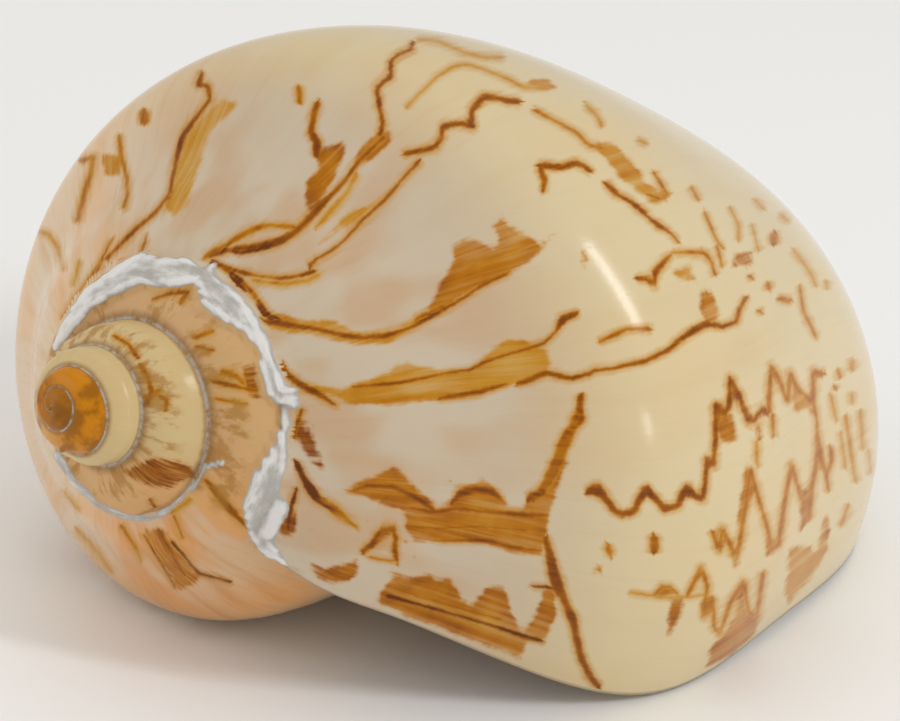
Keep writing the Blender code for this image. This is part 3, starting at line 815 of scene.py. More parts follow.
class Bench:
    """The node tree of one finish."""

    def __init__(self, name: str) -> None:
        """Start a material with an empty tree."""
        self.material = bpy.data.materials.new(name)
        self.material.use_nodes = True
        self.tree = self.material.node_tree
        self.tree.nodes.clear()

    def node(self, kind: str, settings: dict | None = None, sockets: dict | None = None) -> bpy.types.Node:
        """Add a node.

        Args:
            kind: The node's type.
            settings: Its own settings, set first; "stops" are the places and colours of a ramp.
            sockets: Values or wires for its inputs, by name or number.

        Returns:
            The node.
        """
        made = self.tree.nodes.new(kind)
        for key, value in (settings or {}).items():
            if key == "stops":
                while len(made.color_ramp.elements) < len(value):
                    made.color_ramp.elements.new(0.5)
                for element, (place, colour) in zip(made.color_ramp.elements, value):
                    element.position, element.color = place, (*colour, 1.0)
            else:
                setattr(made, key, value)
        for key, value in (sockets or {}).items():
            if isinstance(value, Wire):
                self.tree.links.new(value.socket, made.inputs[key])
            else:
                made.inputs[key].default_value = value
        return made

    def wire(self, made: bpy.types.Node, name: str | int = 0) -> Wire:
        """A node's output as a wire."""
        return Wire(self, made.outputs[name])

    def math(self, operation: str, one: Any, other: Any = 0.0, clamp: bool = False) -> Wire:
        """A Math node on one or two values."""
        return self.wire(self.node("ShaderNodeMath", {"operation": operation, "use_clamp": clamp}, {0: one, 1: other}))

    def mix(self, share: Any, one: Any, other: Any, way: str = "MIX") -> Wire:
        """Mix two colours."""
        settings = {"data_type": "RGBA", "blend_type": way, "clamp_factor": True}
        return self.wire(self.node("ShaderNodeMix", settings, {0: share, 6: one, 7: other}), 2)

    def noise(self, at: Wire, scale: float, detail: float = 3.0, rough: float = 0.55) -> Wire:
        """Noise from 0 to 1 at a place."""
        sockets = {"Vector": at, "Scale": scale, "Detail": detail, "Roughness": rough}
        return self.wire(self.node("ShaderNodeTexNoise", {"normalize": True}, sockets), "Fac")

    def stretched(self, at: Wire, scale: tuple) -> Wire:
        """A place stretched along its axes."""
        return self.wire(self.node("ShaderNodeVectorMath", {"operation": "MULTIPLY"}, {0: at, 1: scale}))

    def value_of(self, name: str) -> Wire:
        """A number kept on the skin's points."""
        return self.wire(self.node("ShaderNodeAttribute", {"attribute_name": name}), "Fac")

    def parts_of(self, name: str) -> list[Wire]:
        """Three numbers kept on the skin's points."""
        kept = self.wire(self.node("ShaderNodeAttribute", {"attribute_name": name}), "Vector")
        split = self.node("ShaderNodeSeparateXYZ", None, {0: kept})
        return [self.wire(split, i) for i in range(3)]


@dataclass(frozen=True)
class ShellFinish:
    """Glossy glaze over cream, with painted marks, growth lines, grey sutures and a chalky callus."""

    layers: int
    mark_stops: tuple = (
        (0.0, (0.58, 0.32, 0.06)), (0.3, (0.53, 0.238, 0.016)), (0.55, (0.45, 0.155, 0.0)),
        (0.78, (0.28, 0.075, 0.0)), (1.0, (0.13, 0.030, 0.0)))
    chalk_lit: tuple = (0.76, 0.745, 0.72, 1.0)
    chalk_in_shade: tuple = (0.43, 0.41, 0.375, 1.0)
    suture_grey: tuple = (0.46, 0.42, 0.36, 1.0)
    suture_shade: tuple = (0.26, 0.12, 0.03, 1.0)
    rosy: tuple = (0.99, 0.86, 0.76, 1.0)
    milky: tuple = (0.64, 0.575, 0.47, 1.0)
    spire_brown: tuple = (0.26, 0.085, 0.0, 1.0)
    spire_gold: tuple = (0.38, 0.17, 0.02, 1.0)
    nucleus_brown: tuple = (0.20, 0.07, 0.005, 1.0)
    edge: float = 0.14
    wander: float = 0.5
    feather: float = 1.1

    def material(self) -> bpy.types.Material:
        """The finished material."""
        bench = Bench("glossy_shell")
        place = bench.wire(bench.node("ShaderNodeTexCoord"), "Object")
        grown = bench.wire(bench.node("ShaderNodeUVMap", {"uv_map": "growth"}))
        streaks = bench.noise(bench.stretched(grown, (230.0, 0.8, 1.0)), 1.0, 4.0, 0.6)
        bands = bench.noise(bench.stretched(grown, (60.0, 0.5, 1.0)), 1.0, 3.0, 0.5)
        fine = bench.noise(bench.stretched(grown, (900.0, 2.5, 1.0)), 1.0, 3.0, 0.6)
        cloud = bench.noise(place, 55.0, 3.0)
        ragged = bench.noise(place, 1300.0, 3.0, 0.65)
        wide = bench.noise(bench.stretched(grown, (17.0, 0.55, 1.0)), 1.0, 2.0, 0.5)
        glaze = self.glaze(bench, grown, streaks, bands, fine, cloud, wide)
        swell = bench.noise(place, 210.0, 3.0, 0.6)
        painted = self.painted(bench, glaze, ragged, swell, streaks, bands, fine)
        painted, seam = self.sutured(bench, painted, grown, place)
        chalk = bench.value_of("callus")
        crust = bench.noise(place, 330.0, 4.0, 0.6)
        flow = bench.noise(bench.stretched(grown, (28.0, 3.0, 1.0)), 1.0, 3.0, 0.6)
        laid = (chalk + (crust - 0.5) * 0.6).above(0.42, 0.58)
        # Painted light and shade on the callus: lighter along its raised crest and darker in its hollows, over the
        # grain of crust and flow.
        light = (crust - 0.5) * 1.1 + (flow - 0.5) * 1.4 + (chalk - 0.65) * 2.0 + 0.28
        painted_shading = bench.mix(light.above(0.05, 0.75), self.chalk_in_shade, self.chalk_lit)
        colour = bench.mix(laid, painted, painted_shading)
        height = streaks * 0.30 + bands * 0.25 + fine * 0.10 + laid * (crust * 3.5 + flow * 5.0) - seam * 1.5
        bump = bench.node("ShaderNodeBump", None, {"Strength": 0.30, "Distance": 0.00025, "Height": height})
        shine = 0.15 + (cloud - 0.5) * 0.10 + (fine - 0.5) * 0.05 + laid * 0.22
        shader = bench.node("ShaderNodeBsdfPrincipled", None, {
            "Base Color": colour, "Roughness": shine, "Normal": bench.wire(bump), "IOR": 1.38,
            "Specular IOR Level": 0.28, "Coat Weight": 0.03, "Coat Roughness": 0.05})
        bench.node("ShaderNodeOutputMaterial", None, {"Surface": bench.wire(shader)})
        return bench.material

    def glaze(self, bench: Bench, grown: Wire, streaks: Wire, bands: Wire, fine: Wire,
              cloud: Wire, wide: Wire) -> Wire:
        """The unmarked shell, with growth lines, darker bands and clouds."""
        plain = bench.wire(bench.node("ShaderNodeAttribute", {"attribute_name": "glaze"}), "Color")
        rosy = bench.mix(1.0, plain, self.rosy, "MULTIPLY")
        split = bench.node("ShaderNodeSeparateXYZ", None, {0: grown})
        turn, station = bench.wire(split, 0), bench.wire(split, 1)
        on_ramp = (turn + 1).above(0.0, 0.01) * (0.25 + 0.75 * (1 - station.above(2.1, 3.0)))
        banded = bench.mix(wide.above(0.44, 0.62) * 0.85, bench.mix(0.38, plain, self.milky), rosy)
        plain = bench.mix(on_ramp, plain, banded)
        warm = bench.mix(1.0, plain, (0.86, 0.66, 0.42, 1), "MULTIPLY")
        blush = bench.value_of("blush")
        lined = bench.mix(bands.above(0.48, 0.78) * (0.10 + blush * 0.55), plain, warm)
        lined = bench.mix(streaks.above(0.50, 0.80) * (0.12 + blush * 0.35), lined, warm)
        lined = bench.mix(fine.above(0.50, 0.85) * 0.14, lined, warm)
        cool = bench.mix(1.0, lined, (0.93, 0.90, 0.90, 1), "MULTIPLY")
        return bench.mix(cloud.above(0.42, 0.75) * 0.35, lined, cool)

    def painted(self, bench: Bench, glaze: Wire, ragged: Wire, swell: Wire, streaks: Wire,
                bands: Wire, fine: Wire) -> Wire:
        """The marks over the glaze, from the line layers and the patches."""
        wobble = (ragged - 0.5) * self.wander
        smear = (streaks - 0.5) * self.feather
        breath = 0.35 + swell * 1.25
        core = None
        for layer in range(self.layers):
            offset, half, strength = bench.parts_of(f"line_{layer}")
            inside = half * breath * strength.above(0.0, 0.6) - abs(offset + wobble * 0.8) - (1 - strength) * 0.8
            core = inside if core is None else core.most(inside)
        core = core + smear * 0.25
        patch = bench.value_of("patch") + wobble + smear + (swell - 0.5) * 1.6
        tone = bench.value_of("tone")
        stroke = bench.value_of("stroke")
        line_tone = stroke + core.above(-0.15, 0.5) * 0.30 - 0.22
        fill_tone = tone + (streaks - 0.5) * 0.8 + (bands - 0.5) * 0.5 + (swell - 0.5) * 0.6 - patch.above(0.8, 2.4) * 0.12
        fill_tone = fill_tone - (1 - patch.above(-0.45, 0.35)) * 0.45
        lines = core.above(-self.edge * 1.5, self.edge * 1.5)
        cover = (0.97 + (streaks - 0.5) * 1.1 + (bands - 0.5) * 0.5).clipped()
        fill = patch.above(-self.edge * 3, self.edge * 3) * cover
        glow = (core + smear * 0.9).above(-0.9, 0.1) * 0.72
        line_tone = line_tone + (streaks - 0.5) * 0.5 + (fine - 0.5) * 0.3 + (swell - 0.5) * 0.45
        soft = bench.wire(bench.node("ShaderNodeValToRGB", {"stops": self.mark_stops}, {"Fac": (stroke * 0.4 - 0.1).clipped()}), "Color")
        filled = bench.wire(bench.node("ShaderNodeValToRGB", {"stops": self.mark_stops}, {"Fac": fill_tone.clipped()}), "Color")
        lined = bench.wire(bench.node("ShaderNodeValToRGB", {"stops": self.mark_stops}, {"Fac": line_tone.clipped()}), "Color")
        return bench.mix(lines, bench.mix(fill, bench.mix(glow, glaze, soft), filled), lined)

    def sutured(self, bench: Bench, painted: Wire, grown: Wire, place: Wire) -> tuple[Wire, Wire]:
        """Grey beads along the sutures of the spire, with painted shade in brown beside them."""
        split = bench.node("ShaderNodeSeparateXYZ", None, {0: grown})
        turn, station = bench.wire(split, 0), bench.wire(split, 1)
        spire = (-1.0 - turn).above(0.0, 0.03)
        beads = bench.noise(place, 900.0, 3.0, 0.6)
        far_side = abs(station - 2.0) * 0.8 + (beads - 0.5) * 0.10
        near_side = station + (beads - 0.5) * 0.12
        shade = (1 - near_side.above(0.05, 0.34)).most(1 - far_side.above(0.02, 0.16)) * spire
        line = (1 - near_side.above(0.03, 0.12)).most(1 - far_side.above(0.01, 0.06)) * spire
        cracks = bench.noise(bench.stretched(grown, (34.0, 0.8, 1.0)), 1.0, 4.0, 0.65)
        upper = (1 - (station - (cracks - 0.5) * 1.4).above(0.75, 1.35)) * (turn + 2.9).above(0.0, 0.2)
        painted = bench.mix(cracks.above(0.46, 0.60) * upper * spire * 0.7, painted, self.spire_gold)
        mottle = bench.noise(place, 260.0, 3.0, 0.6)
        early = (-3.45 - turn).above(0.0, 0.3)
        painted = bench.mix(mottle.above(0.42, 0.62) * early * 0.75, painted, self.spire_brown)
        painted = bench.mix((-4.45 - turn).above(0.0, 0.4) * 0.55, painted, self.nucleus_brown)
        # Painted shade in brown along both sides of the spire's sutures.
        painted_shading = bench.mix(shade * 0.7, painted, self.suture_shade)
        return bench.mix(line * beads.above(0.36, 0.60), painted_shading, self.suture_grey), line


@dataclass
class Shell:
    """The coiled shell: steps of its grids, wall and aperture sizes in mm, turns and stations."""

    law: GrowthLaw
    lie: Lie
    view: PhotoView
    open_rows: int = 49
    seen_rows: int = 312
    seen_from: float = 0.35
    spire_columns: int = 14
    flank_columns: int = 88
    neck_columns: int = 18
    neck_station: float = 5.6
    spire_stations: float = 2.0
    last_station: float = 7.0
    waist_station: float = 5.0
    wall: float = 3.2
    deep_wall: float = 0.35
    rounding: float = 1.2
    canal_turns: float = 0.35
    cavity_turns: float = 0.85
    inner_start: float = 0.7
    inner_edge: float = 0.4
    parietal_start: float = 2.8
    corner_turns: float = 0.075
    canal_floor: float = 0.45
    folds: tuple = (5.35, 5.65, 5.95, 6.25)
    fold_height: float = 1.5
    fold_width: float = 0.12
    fold_fade: float = 0.06
    canal_stride: int = 3
    deep_rows: int = 26
    rim_rings: int = 8
    corner_columns: int = 2
    cap_rings: int = 5
    turn_mm: float = 330.0
    station_mm: float = 22.0
    weld: float = 2e-7
    pole_radius: float = 8e-5
    callus_height: float = 1.1
    crest_depth: float = 3.0
    crest_width: float = 3.5
    sheets: list = field(default_factory=list)

    def fractions(self) -> np.ndarray:
        """Shares of a turn where rows are laid, closer together on the side that the photo shows."""
        open_side = np.linspace(0, self.seen_from, self.open_rows, endpoint=False)
        return np.concatenate([open_side, np.linspace(self.seen_from, 1, self.seen_rows, endpoint=False)])

    def flank(self) -> np.ndarray:
        """Stations of the columns below the spire."""
        upper = np.linspace(self.spire_stations, self.neck_station, self.flank_columns + 1)
        return np.concatenate([upper, np.linspace(self.neck_station, self.last_station, self.neck_columns + 1)[1:]])

    def lay_sheet(self, name: str, places: np.ndarray, turns: np.ndarray, stations: np.ndarray) -> None:
        """Lay one grid and wrap it onto its places.

        Args:
            name: The sheet's name.
            places: Points in mm of the growing frame, (rows, columns, 3).
            turns: Turn of each point.
            stations: Station of each point.
        """
        rows, columns = places.shape[:2]
        bpy.ops.object.select_all(action="DESELECT")
        bpy.ops.mesh.primitive_grid_add(x_subdivisions=columns - 1, y_subdivisions=rows - 1, size=1)
        sheet = bpy.context.object
        sheet.name = name
        mesh = sheet.data
        mesh.vertices.foreach_set("co", self.lie.lay(places.reshape(-1, 3)).astype(np.float32).ravel())
        grown = np.stack([np.broadcast_to(turns, (rows, columns)), np.broadcast_to(stations, (rows, columns))], axis=-1)
        corner = np.zeros(len(mesh.loops), np.int32)
        mesh.loops.foreach_get("vertex_index", corner)
        mesh.uv_layers[0].name = "growth"
        mesh.uv_layers["growth"].data.foreach_set("uv", grown.reshape(-1, 2)[corner].astype(np.float32).ravel())
        outer = 1.0 if name.startswith("outer") else 0.0
        for key, values in (("turn", grown[..., 0]), ("station", grown[..., 1]), ("outer", np.full((rows, columns), outer))):
            kept = mesh.attributes.new(key, "FLOAT", "POINT")
            kept.data.foreach_set("value", values.astype(np.float32).ravel())
        self.sheets.append(sheet)

    def inner_face(self, depths: np.ndarray, stations: np.ndarray) -> np.ndarray:
        """The cavity's outer side, so many turns behind the lip."""
        inner = self.inner_start + (self.last_station - self.inner_start) * stations / self.last_station
        wall = self.wall * (self.deep_wall + (1 - self.deep_wall) * self.law.growth(depths))
        points = self.law.surface(-depths, inner) - wall[:, None, None] * self.law.outward(-depths, inner)
        pillar_end = self.law.surface(-1 - depths, np.array([self.last_station]))
        past_waist = ease((stations - self.waist_station) / (self.last_station - self.waist_station))
        deep = ease((depths / self.canal_turns - self.canal_floor) / (1 - self.canal_floor))
        return points + (past_waist[None] * deep[:, None])[..., None] * (pillar_end - points)

    def pillar_face(self, depths: np.ndarray, stations: np.ndarray) -> np.ndarray:
        """The cavity's inner side: the whorl before, with folds on the pillar."""
        corner = np.clip(depths / self.corner_turns, 0, 1)
        start = self.spire_stations + corner * (self.parietal_start - self.spire_stations)
        share = (stations - self.spire_stations) / (self.last_station - self.spire_stations)
        inner = start[:, None] + share[None] * (self.last_station - start)[:, None]
        points = self.law.surface(-1 - depths, inner)
        rise = sum(np.exp(-((inner - fold) / self.fold_width) ** 2) for fold in self.folds)
        rise = rise * (self.fold_height * self.law.growth(depths) * ease(depths / self.fold_fade))[:, None]
        return points + rise[..., None] * self.law.outward(-1 - depths, inner)

    def build_outside(self) -> None:
        """Lay the spire and the body whorl."""
        law, shares = self.law, self.fractions()
        first = int(law.apex_turn) - 1
        turns = np.concatenate([first + k + shares for k in range(-1 - first)] + [[-1.0]])
        across = np.linspace(0, self.spire_stations, self.spire_columns + 1)
        self.lay_sheet("outer_spire", law.surface(turns, across), turns[:, None], across[None])
        turns = np.concatenate([shares - 1, [0.0]])
        self.lay_sheet("outer_ramp", law.surface(turns, across), turns[:, None], across[None])
        flank = self.flank()
        self.lay_sheet("outer_flank", law.surface(turns, flank), turns[:, None], flank[None])

    def depth_rows(self) -> tuple[np.ndarray, np.ndarray]:
        """Depths of the rows inside the aperture, and how many of them lie along the canal."""
        near = 1 - self.fractions()[::-1]
        canal = near[near <= self.canal_turns - 1e-9]
        canal = np.concatenate([[0.0], canal[self.canal_stride - 1:-1:self.canal_stride], [self.canal_edge()]])
        deep = np.linspace(self.canal_edge(), self.cavity_turns, self.deep_rows + 1)[1:]
        return canal, deep

    def canal_edge(self) -> float:
        """Depth of the canal's last row, which is a row of the outside as well."""
        near = 1 - self.fractions()
        return float(near[near <= self.canal_turns].max())

    def build_inside(self) -> None:
        """Lay the cavity, from the rim and the pillar back to its end."""
        canal, deep = self.depth_rows()
        depths = np.concatenate([canal, deep])
        flank = self.flank()
        ramp = np.linspace(0, self.spire_stations, self.spire_columns + 1)
        outer_stations = np.concatenate([ramp[ramp >= self.inner_edge], flank[1:]])
        outer = self.inner_face(depths, outer_stations)
        pillar = self.pillar_face(depths, flank)
        pillar[0] = self.law.surface(np.array([-1.0]), flank)[0]
        closed = depths >= self.canal_edge() - 1e-9
        outer[closed, -1] = pillar[closed, -1]
        share = np.linspace(0, 1, self.corner_columns + 2)[1:-1][None, :, None]
        bend_out = outer[:, :1] + (outer[:, :1] - outer[:, 4:5]) * 0.5
        bend_in = pillar[:, :1] + (pillar[:, :1] - pillar[:, 4:5]) * 0.3 * ease(depths / self.corner_turns)[:, None, None]
        control = (bend_out + bend_in) / 2
        corner = (1 - share) ** 2 * outer[:, :1] + 2 * share * (1 - share) * control + share ** 2 * pillar[:, :1]
        places = np.concatenate([outer[:, ::-1], corner, pillar], axis=1)
        stations = np.concatenate([outer_stations[::-1], np.full(self.corner_columns, 1.5), flank])
        self.lay_sheet("cavity", places, -depths[:, None] - 0.5, stations[None])
        self.build_cavity_end(places[-1], depths[-1])
        self.build_front_cap(places, canal, self.build_rim(places, canal))

    def build_cavity_end(self, loop: np.ndarray, depth: float) -> None:
        """Close the cavity with a flat sheet between its two sides."""
        half = (len(loop) + 1) // 2
        share = np.linspace(0, 1, 7)[:, None, None]
        across = loop[:half][None] * (1 - share) + loop[::-1][:half][None] * share
        across[1:-1, -1] = across[0, -1]
        self.lay_sheet("cavity_end", across, np.full((7, half), -depth), np.full((7, half), 4.0))

    def build_rim(self, places: np.ndarray, canal: np.ndarray) -> np.ndarray:
        """Round the lip between the outside and the cavity, down to the end of the canal.

        Args:
            places: The cavity's grid of places, its first row along the lip.
            canal: The turns of the cavity's rows, back from the lip.

        Returns:
            The rim's last column, which the cap over the front end shares.
        """
        law, flank = self.law, self.flank()
        ramp = np.linspace(0, self.spire_stations, self.spire_columns + 1)
        edge = np.concatenate([ramp, flank[1:]])
        lip = law.surface(np.zeros(1), edge)[0]
        near = np.sort(1 - self.fractions())
        back = near[(near > 0) & (near <= self.canal_edge() + 1e-9)]
        front = law.surface(-back, np.array([self.last_station]))[:, 0]
        outside = np.concatenate([lip, front])
        held = int((ramp >= self.inner_edge).sum()) + len(flank) - 1
        inner_lip = places[0, :held][::-1]
        skipped = len(edge) - held - 1
        start = law.surface(np.array([-1.0]), np.array([self.spire_stations]))[0]
        inside = np.concatenate([start, places[0, held:held + skipped][::-1], inner_lip])
        step = np.searchsorted(canal, back - 1e-9)
        inside = np.concatenate([inside, places[step, 0]])
        across = outside - inside
        width = np.linalg.norm(across, axis=1, keepdims=True)
        across = across / np.maximum(width, 1e-6)
        run = np.gradient((outside + inside) / 2, axis=0)
        run /= np.maximum(np.linalg.norm(run, axis=1, keepdims=True), 1e-6)
        forward = np.cross(across, run)
        forward /= np.maximum(np.linalg.norm(forward, axis=1, keepdims=True), 1e-6)
        rise = self.rounding * np.clip(width / self.wall, 0, 1)
        angle = np.linspace(0, math.pi, self.rim_rings + 1)[:, None, None]
        ring = (outside + inside) / 2 + (outside - inside) / 2 * np.cos(angle) + forward * rise * np.sin(angle)
        ring[0], ring[-1] = outside, inside
        ring[:, 0], ring[:, -1] = outside[0], ring[:, -1]
        stations = np.concatenate([edge, np.full(len(back), self.last_station)])
        turns = np.concatenate([np.zeros(len(edge)), -back])
        self.lay_sheet("outer_rim", ring, turns[None], stations[None])
        return ring[:, -1]

    def build_front_cap(self, places: np.ndarray, canal: np.ndarray, rim_end: np.ndarray) -> None:
        """Close the front end of the pillar, from the canal round to the aperture.

        Args:
            places: The cavity's grid of places, its last column along the front.
            canal: The turns of the cavity's rows, back from the lip.
            rim_end: The rim's last column, from the outside to the cavity.
        """
        shares = self.fractions()
        turns = (shares - 1)[shares - 1 <= -self.canal_edge() + 1e-9][::-1]
        front = self.law.surface(turns, np.array([self.last_station]))[:, 0]
        inner = places[:len(canal), -1]
        loop = np.concatenate([front, inner[1:], rim_end[-2:0:-1], front[:1]])
        hub = np.concatenate([front, inner]).mean(axis=0)
        share = np.linspace(1, 0, self.cap_rings + 1)[:, None, None]
        spread = hub + (loop - hub) * share
        self.lay_sheet("outer_cap", spread, np.full(spread.shape[:2], -0.5), np.full(spread.shape[:2], 7.0))

    def join(self) -> bpy.types.Object:
        """Join the sheets into one closed skin."""
        bpy.ops.object.select_all(action="DESELECT")
        for sheet in self.sheets:
            sheet.select_set(True)
        bpy.context.view_layer.objects.active = self.sheets[0]
        bpy.ops.object.join()
        skin = bpy.context.object
        skin.name = skin.data.name = "shell_skin"
        bpy.ops.object.mode_set(mode="EDIT")
        bpy.ops.mesh.select_all(action="SELECT")
        bpy.ops.mesh.remove_doubles(threshold=self.weld)
        bpy.ops.mesh.select_all(action="DESELECT")
        bpy.ops.object.mode_set(mode="OBJECT")
        pole = self.lie.lay(self.law.surface(np.array([self.law.apex_turn]), np.array([0.0]))[0])[0]
        near = np.linalg.norm(self.read(skin, "co") - pole, axis=1) < self.pole_radius
        skin.data.vertices.foreach_set("select", near)
        bpy.ops.object.mode_set(mode="EDIT")
        bpy.ops.mesh.merge(type="CENTER")
        bpy.ops.mesh.select_all(action="SELECT")
        bpy.ops.mesh.normals_make_consistent(inside=False)
        bpy.ops.object.mode_set(mode="OBJECT")
        bpy.ops.object.shade_smooth()
        self.check_closed(skin)
        return skin

    def check_closed(self, skin: bpy.types.Object) -> None:
        """Report how many open edges are left."""
        edges = {}
        for face in skin.data.polygons:
            for key in face.edge_keys:
                edges[key] = edges.get(key, 0) + 1
        loose = [key for key, uses in edges.items() if uses != 2]
        log.info("open or crowded edges: %d", len(loose))
        for key in loose[:6]:
            log.info("  at %s", [round(c * 1000, 2) for c in skin.data.vertices[key[0]].co])

    def snug(self, skin: bpy.types.Object, box: tuple) -> None:
        """Draw the smooth skin in by its last tenths of a millimetre, to the size of the model."""
        places = self.read(skin, "co")
        low, high = places.min(axis=0), places.max(axis=0)
        want_low, want_high = np.array(box[0]), np.array(box[1])
        fitted = want_low + (places - low) * (want_high - want_low) / (high - low)
        skin.data.vertices.foreach_set("co", fitted.astype(np.float32).ravel())
        skin.data.update()
        log.info("skin drawn in by %s mm", np.round(((high - low) - (want_high - want_low)) * 1000, 2))

    def read(self, skin: bpy.types.Object, what: str) -> np.ndarray:
        """Places or normals of the skin's points."""
        mesh = skin.data
        values = np.zeros(len(mesh.vertices) * 3, np.float32)
        if what == "co":
            mesh.vertices.foreach_get("co", values)
        else:
            mesh.vertex_normals.foreach_get("vector", values)
        return values.reshape(-1, 3).astype(float)

    def kept(self, skin: bpy.types.Object, name: str) -> np.ndarray:
        """A number kept on each point."""
        values = np.zeros(len(skin.data.vertices), np.float32)
        skin.data.attributes[name].data.foreach_get("value", values)
        return values.astype(float)

    def keep(self, skin: bpy.types.Object, name: str, kind: str, values: np.ndarray) -> None:
        """Keep numbers on each point: FLOAT, FLOAT_VECTOR or FLOAT_COLOR."""
        made = skin.data.attributes.new(name, kind, "POINT")
        key = {"FLOAT": "value", "FLOAT_VECTOR": "vector", "FLOAT_COLOR": "color"}[kind]
        made.data.foreach_set(key, values.astype(np.float32).ravel())

    def growing(self, places: np.ndarray) -> np.ndarray:
        """Lying places in metres, back in mm of the growing frame."""
        return (places / MM + np.array(self.lie.ground_point)) @ self.lie.turn()

    def dress(self, skin: bpy.types.Object) -> None:
        """Paint the marks, the glaze and the callus onto the skin's points."""
        grown = self.growing(self.read(skin, "co"))
        normals = self.read(skin, "normal") @ self.lie.turn()
        turn, station = self.kept(skin, "turn"), self.kept(skin, "station")
        outside = self.kept(skin, "outer") > 0.5
        seen = outside & (self.view.facing(grown, normals) > 0.02)
        pixels = self.view.pixels(grown)
        body = {Whorls.BODY: turn >= -1.0 - 1e-6, Whorls.SPIRE: turn < -1.0 + 1e-6}
        job = PaintJob()
        job.start(len(grown))
        scale = self.view.pixels_per_mm
        for patch in BODY_PATCHES + SPIRE_PATCHES:
            job.add_patch(pixels, seen & body[patch.whorls], patch, scale)
        for line in BODY_LINES + SPIRE_LINES:
            job.add_line(pixels, seen & body[line.whorls], line, scale)
        paper = np.stack([turn * self.turn_mm, station * self.station_mm], axis=1)
        far = outside & ~seen & body[Whorls.BODY]
        marks = FarSideMarks(turn_mm=self.turn_mm, station_mm=self.station_mm)
        for patch in marks.patches():
            job.add_patch(paper, far, patch, 1.0)
        for line in marks.lines():
            job.add_line(paper, far, line, 1.0)
        for layer, values in enumerate(job.offset):
            self.keep(skin, f"line_{layer}", "FLOAT_VECTOR", values)
        self.keep(skin, "patch", "FLOAT", job.patch)
        self.keep(skin, "tone", "FLOAT", job.tone)
        self.keep(skin, "stroke", "FLOAT", job.stroke)
        callus = self.callus(pixels, seen, turn)
        self.keep(skin, "callus", "FLOAT", callus)
        self.keep(skin, "glaze", "FLOAT_COLOR", self.glaze(turn, station, outside, pixels, seen))
        self.keep(skin, "blush", "FLOAT", np.where(outside & (turn > -1.0), ease((-0.33 - turn) / 0.2), 0.0))
        raised = self.read(skin, "co") + self.read(skin, "normal") * (callus * self.callus_height * MM)[:, None]
        skin.data.vertices.foreach_set("co", raised.astype(np.float32).ravel())
        for name in ("turn", "station", "outer"):
            skin.data.attributes.remove(skin.data.attributes[name])
        skin.data.materials.clear()
        skin.data.materials.append(ShellFinish(job.layers).material())

    def callus(self, pixels: np.ndarray, seen: np.ndarray, turn: np.ndarray) -> np.ndarray:
        """How much callus lies on each point, from 0 to 1."""
        depth = np.max([depth_inside(pixels, outline) for outline in CALLUS_OUTLINES], axis=0)
        laid = ease(depth / 5 + 0.35)
        corners = np.array([(*p, 2.0) for p in EARLY_SUTURE])
        offset = np.abs(line_offsets(pixels, corners)[0])
        laid = np.maximum(laid, ease(1.6 - offset / 4) * (turn < -0.4))
        # The crest raises the callus, and through the same value paints it lighter there: a painted highlight along the
        # crest.
        crest = np.exp(-((depth - self.crest_depth) / self.crest_width) ** 2)
        return np.where(seen, laid * (0.65 + 0.35 * crest), 0.0)

    def glaze(self, turn: np.ndarray, station: np.ndarray, outside: np.ndarray,
              pixels: np.ndarray, seen: np.ndarray) -> np.ndarray:
        """The shell's own colour at each point, without its marks, with painted shade at its lower left."""
        ramp, flank = np.array([0.57, 0.445, 0.30]), np.array([0.70, 0.57, 0.335])
        peach, deep_peach_shade = np.array([0.74, 0.54, 0.335]), np.array([0.70, 0.37, 0.14])
        tan, amber = np.array([0.62, 0.38, 0.17]), np.array([0.60, 0.22, 0.0])
        cream, inner = np.array([0.64, 0.48, 0.235]), np.array([0.74, 0.50, 0.30])
        out = np.tile(ramp, (len(turn), 1))

        def lay(colour: np.ndarray, share: np.ndarray) -> None:
            """Lay a colour over the others by its share."""
            out[:] = out + (colour - out) * np.clip(share, 0, 1)[:, None]

        body = turn >= -1.0 - 1e-6
        lay(flank, ease((station - 2.2) / 1.3) * body)
        lay(peach, ease((-0.36 - turn) / 0.14) * body)
        # Painted shade: the lower left of the shell, as the picture sees it, is laid in a darker deep peach.
        low_left_shade = np.clip(1 - np.hypot(pixels[:, 0] - 210, pixels[:, 1] - 600) / 170, 0, 1)
        lay(tan, ~body * np.ones(len(turn)))
        lay(deep_peach_shade, ease(low_left_shade * 1.9) * (seen & (turn < -0.4)))
        lay(cream, ease((-1.98 - turn) / 0.12) * ~body)
        lay(amber, ease((-3.45 - turn) / 0.6) * ~body)
        lay(inner, ~outside * np.ones(len(turn)))
        return np.concatenate([out, np.ones((len(turn), 1))], axis=1)

    def build(self, box: tuple) -> bpy.types.Object:
        """Build and dress the shell."""
        self.build_outside()
        self.build_inside()
        skin = self.join()
        self.dress(skin)
        self.snug(skin, box)
        return skin


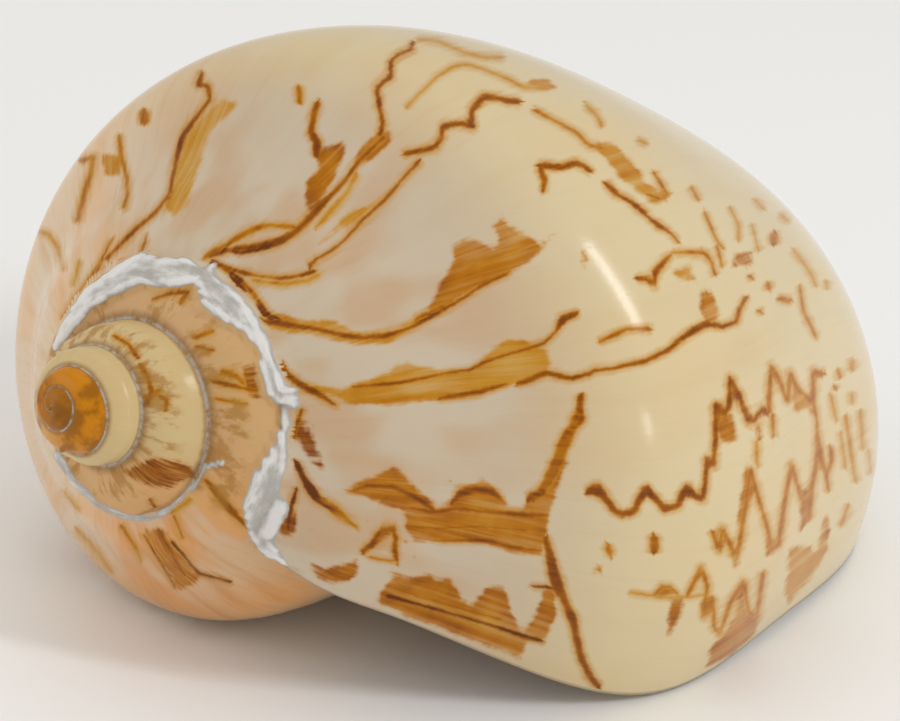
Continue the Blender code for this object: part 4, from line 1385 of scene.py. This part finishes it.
@dataclass
class Studio:
    """A pale floor and soft lights; sizes in metres, light in watts."""

    floor_size: float = 6.0
    floor_colour: tuple = (0.93, 0.93, 0.92, 1.0)
    world_colour: tuple = (1.0, 0.985, 0.96, 1.0)
    world_strength: float = 0.62
    middle: tuple = (-0.017, -0.035, 0.055)

    def floor(self) -> None:
        """Lay the floor."""
        bpy.ops.object.select_all(action="DESELECT")
        bpy.ops.mesh.primitive_plane_add(size=self.floor_size, location=(0, 0, 0))
        ground = bpy.context.object
        ground.name = "floor"
        bench = Bench("floor")
        shader = bench.node("ShaderNodeBsdfPrincipled", None, {"Base Color": self.floor_colour, "Roughness": 0.7})
        bench.node("ShaderNodeOutputMaterial", None, {"Surface": bench.wire(shader)})
        ground.data.materials.append(bench.material)

    def light(self, name: str, way: tuple, away: float, size: tuple, watts: float) -> None:
        """Hang a soft light.

        Args:
            name: Its name.
            way: Where it hangs, as a direction from the shell.
            away: How far off it hangs.
            size: Its width and height.
            watts: Its strength.
        """
        data = bpy.data.lights.new(name, "AREA")
        data.shape = "RECTANGLE"
        data.size, data.size_y, data.energy = *size, watts
        lamp = bpy.data.objects.new(name, data)
        bpy.context.scene.collection.objects.link(lamp)
        along = Vector(way).normalized()
        turned = along.to_track_quat("Z", "Y").to_matrix().to_4x4()
        lamp.matrix_world = Matrix.Translation(Vector(self.middle) + along * away) @ turned

    def build(self) -> None:
        """Lay the floor, light the air and hang the lights."""
        self.floor()
        world = bpy.data.worlds.new("studio")
        bpy.context.scene.world = world
        world.use_nodes = True
        backdrop = world.node_tree.nodes["Background"]
        backdrop.inputs["Color"].default_value = self.world_colour
        backdrop.inputs["Strength"].default_value = self.world_strength
        self.light("key", (0.26, -0.74, 0.64), 0.9, (0.085, 0.36), 2.5)
        self.light("top", (0.05, 0.25, 0.97), 1.2, (1.0, 1.0), 1.3)
        self.light("low", (0.12, -0.99, 0.05), 0.8, (0.045, 0.08), 0.22)
        self.light("fill", (-0.75, -0.1, 0.75), 1.2, (0.9, 0.9), 0.5)
        self.light("left", (-0.70, 0.62, 0.30), 1.3, (1.1, 0.8), 3.2)


def main() -> None:
    """Build the shell and its studio."""
    logging.basicConfig(level=logging.INFO, format="%(message)s")
    law, lie, view = GrowthLaw(), Lie(), PhotoView()
    Studio().build()
    log.info("studio ready")
    skin = Shell(law, lie, view).build(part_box("shell"))
    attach(skin, "root")
    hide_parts("shell")
    log.info("%s: %d faces", skin.name, len(skin.data.polygons))
    view.place(lie)
    bpy.context.scene.view_settings.view_transform = "Standard"
    bpy.context.view_layer.update()


if __name__ == "__main__":
    main()
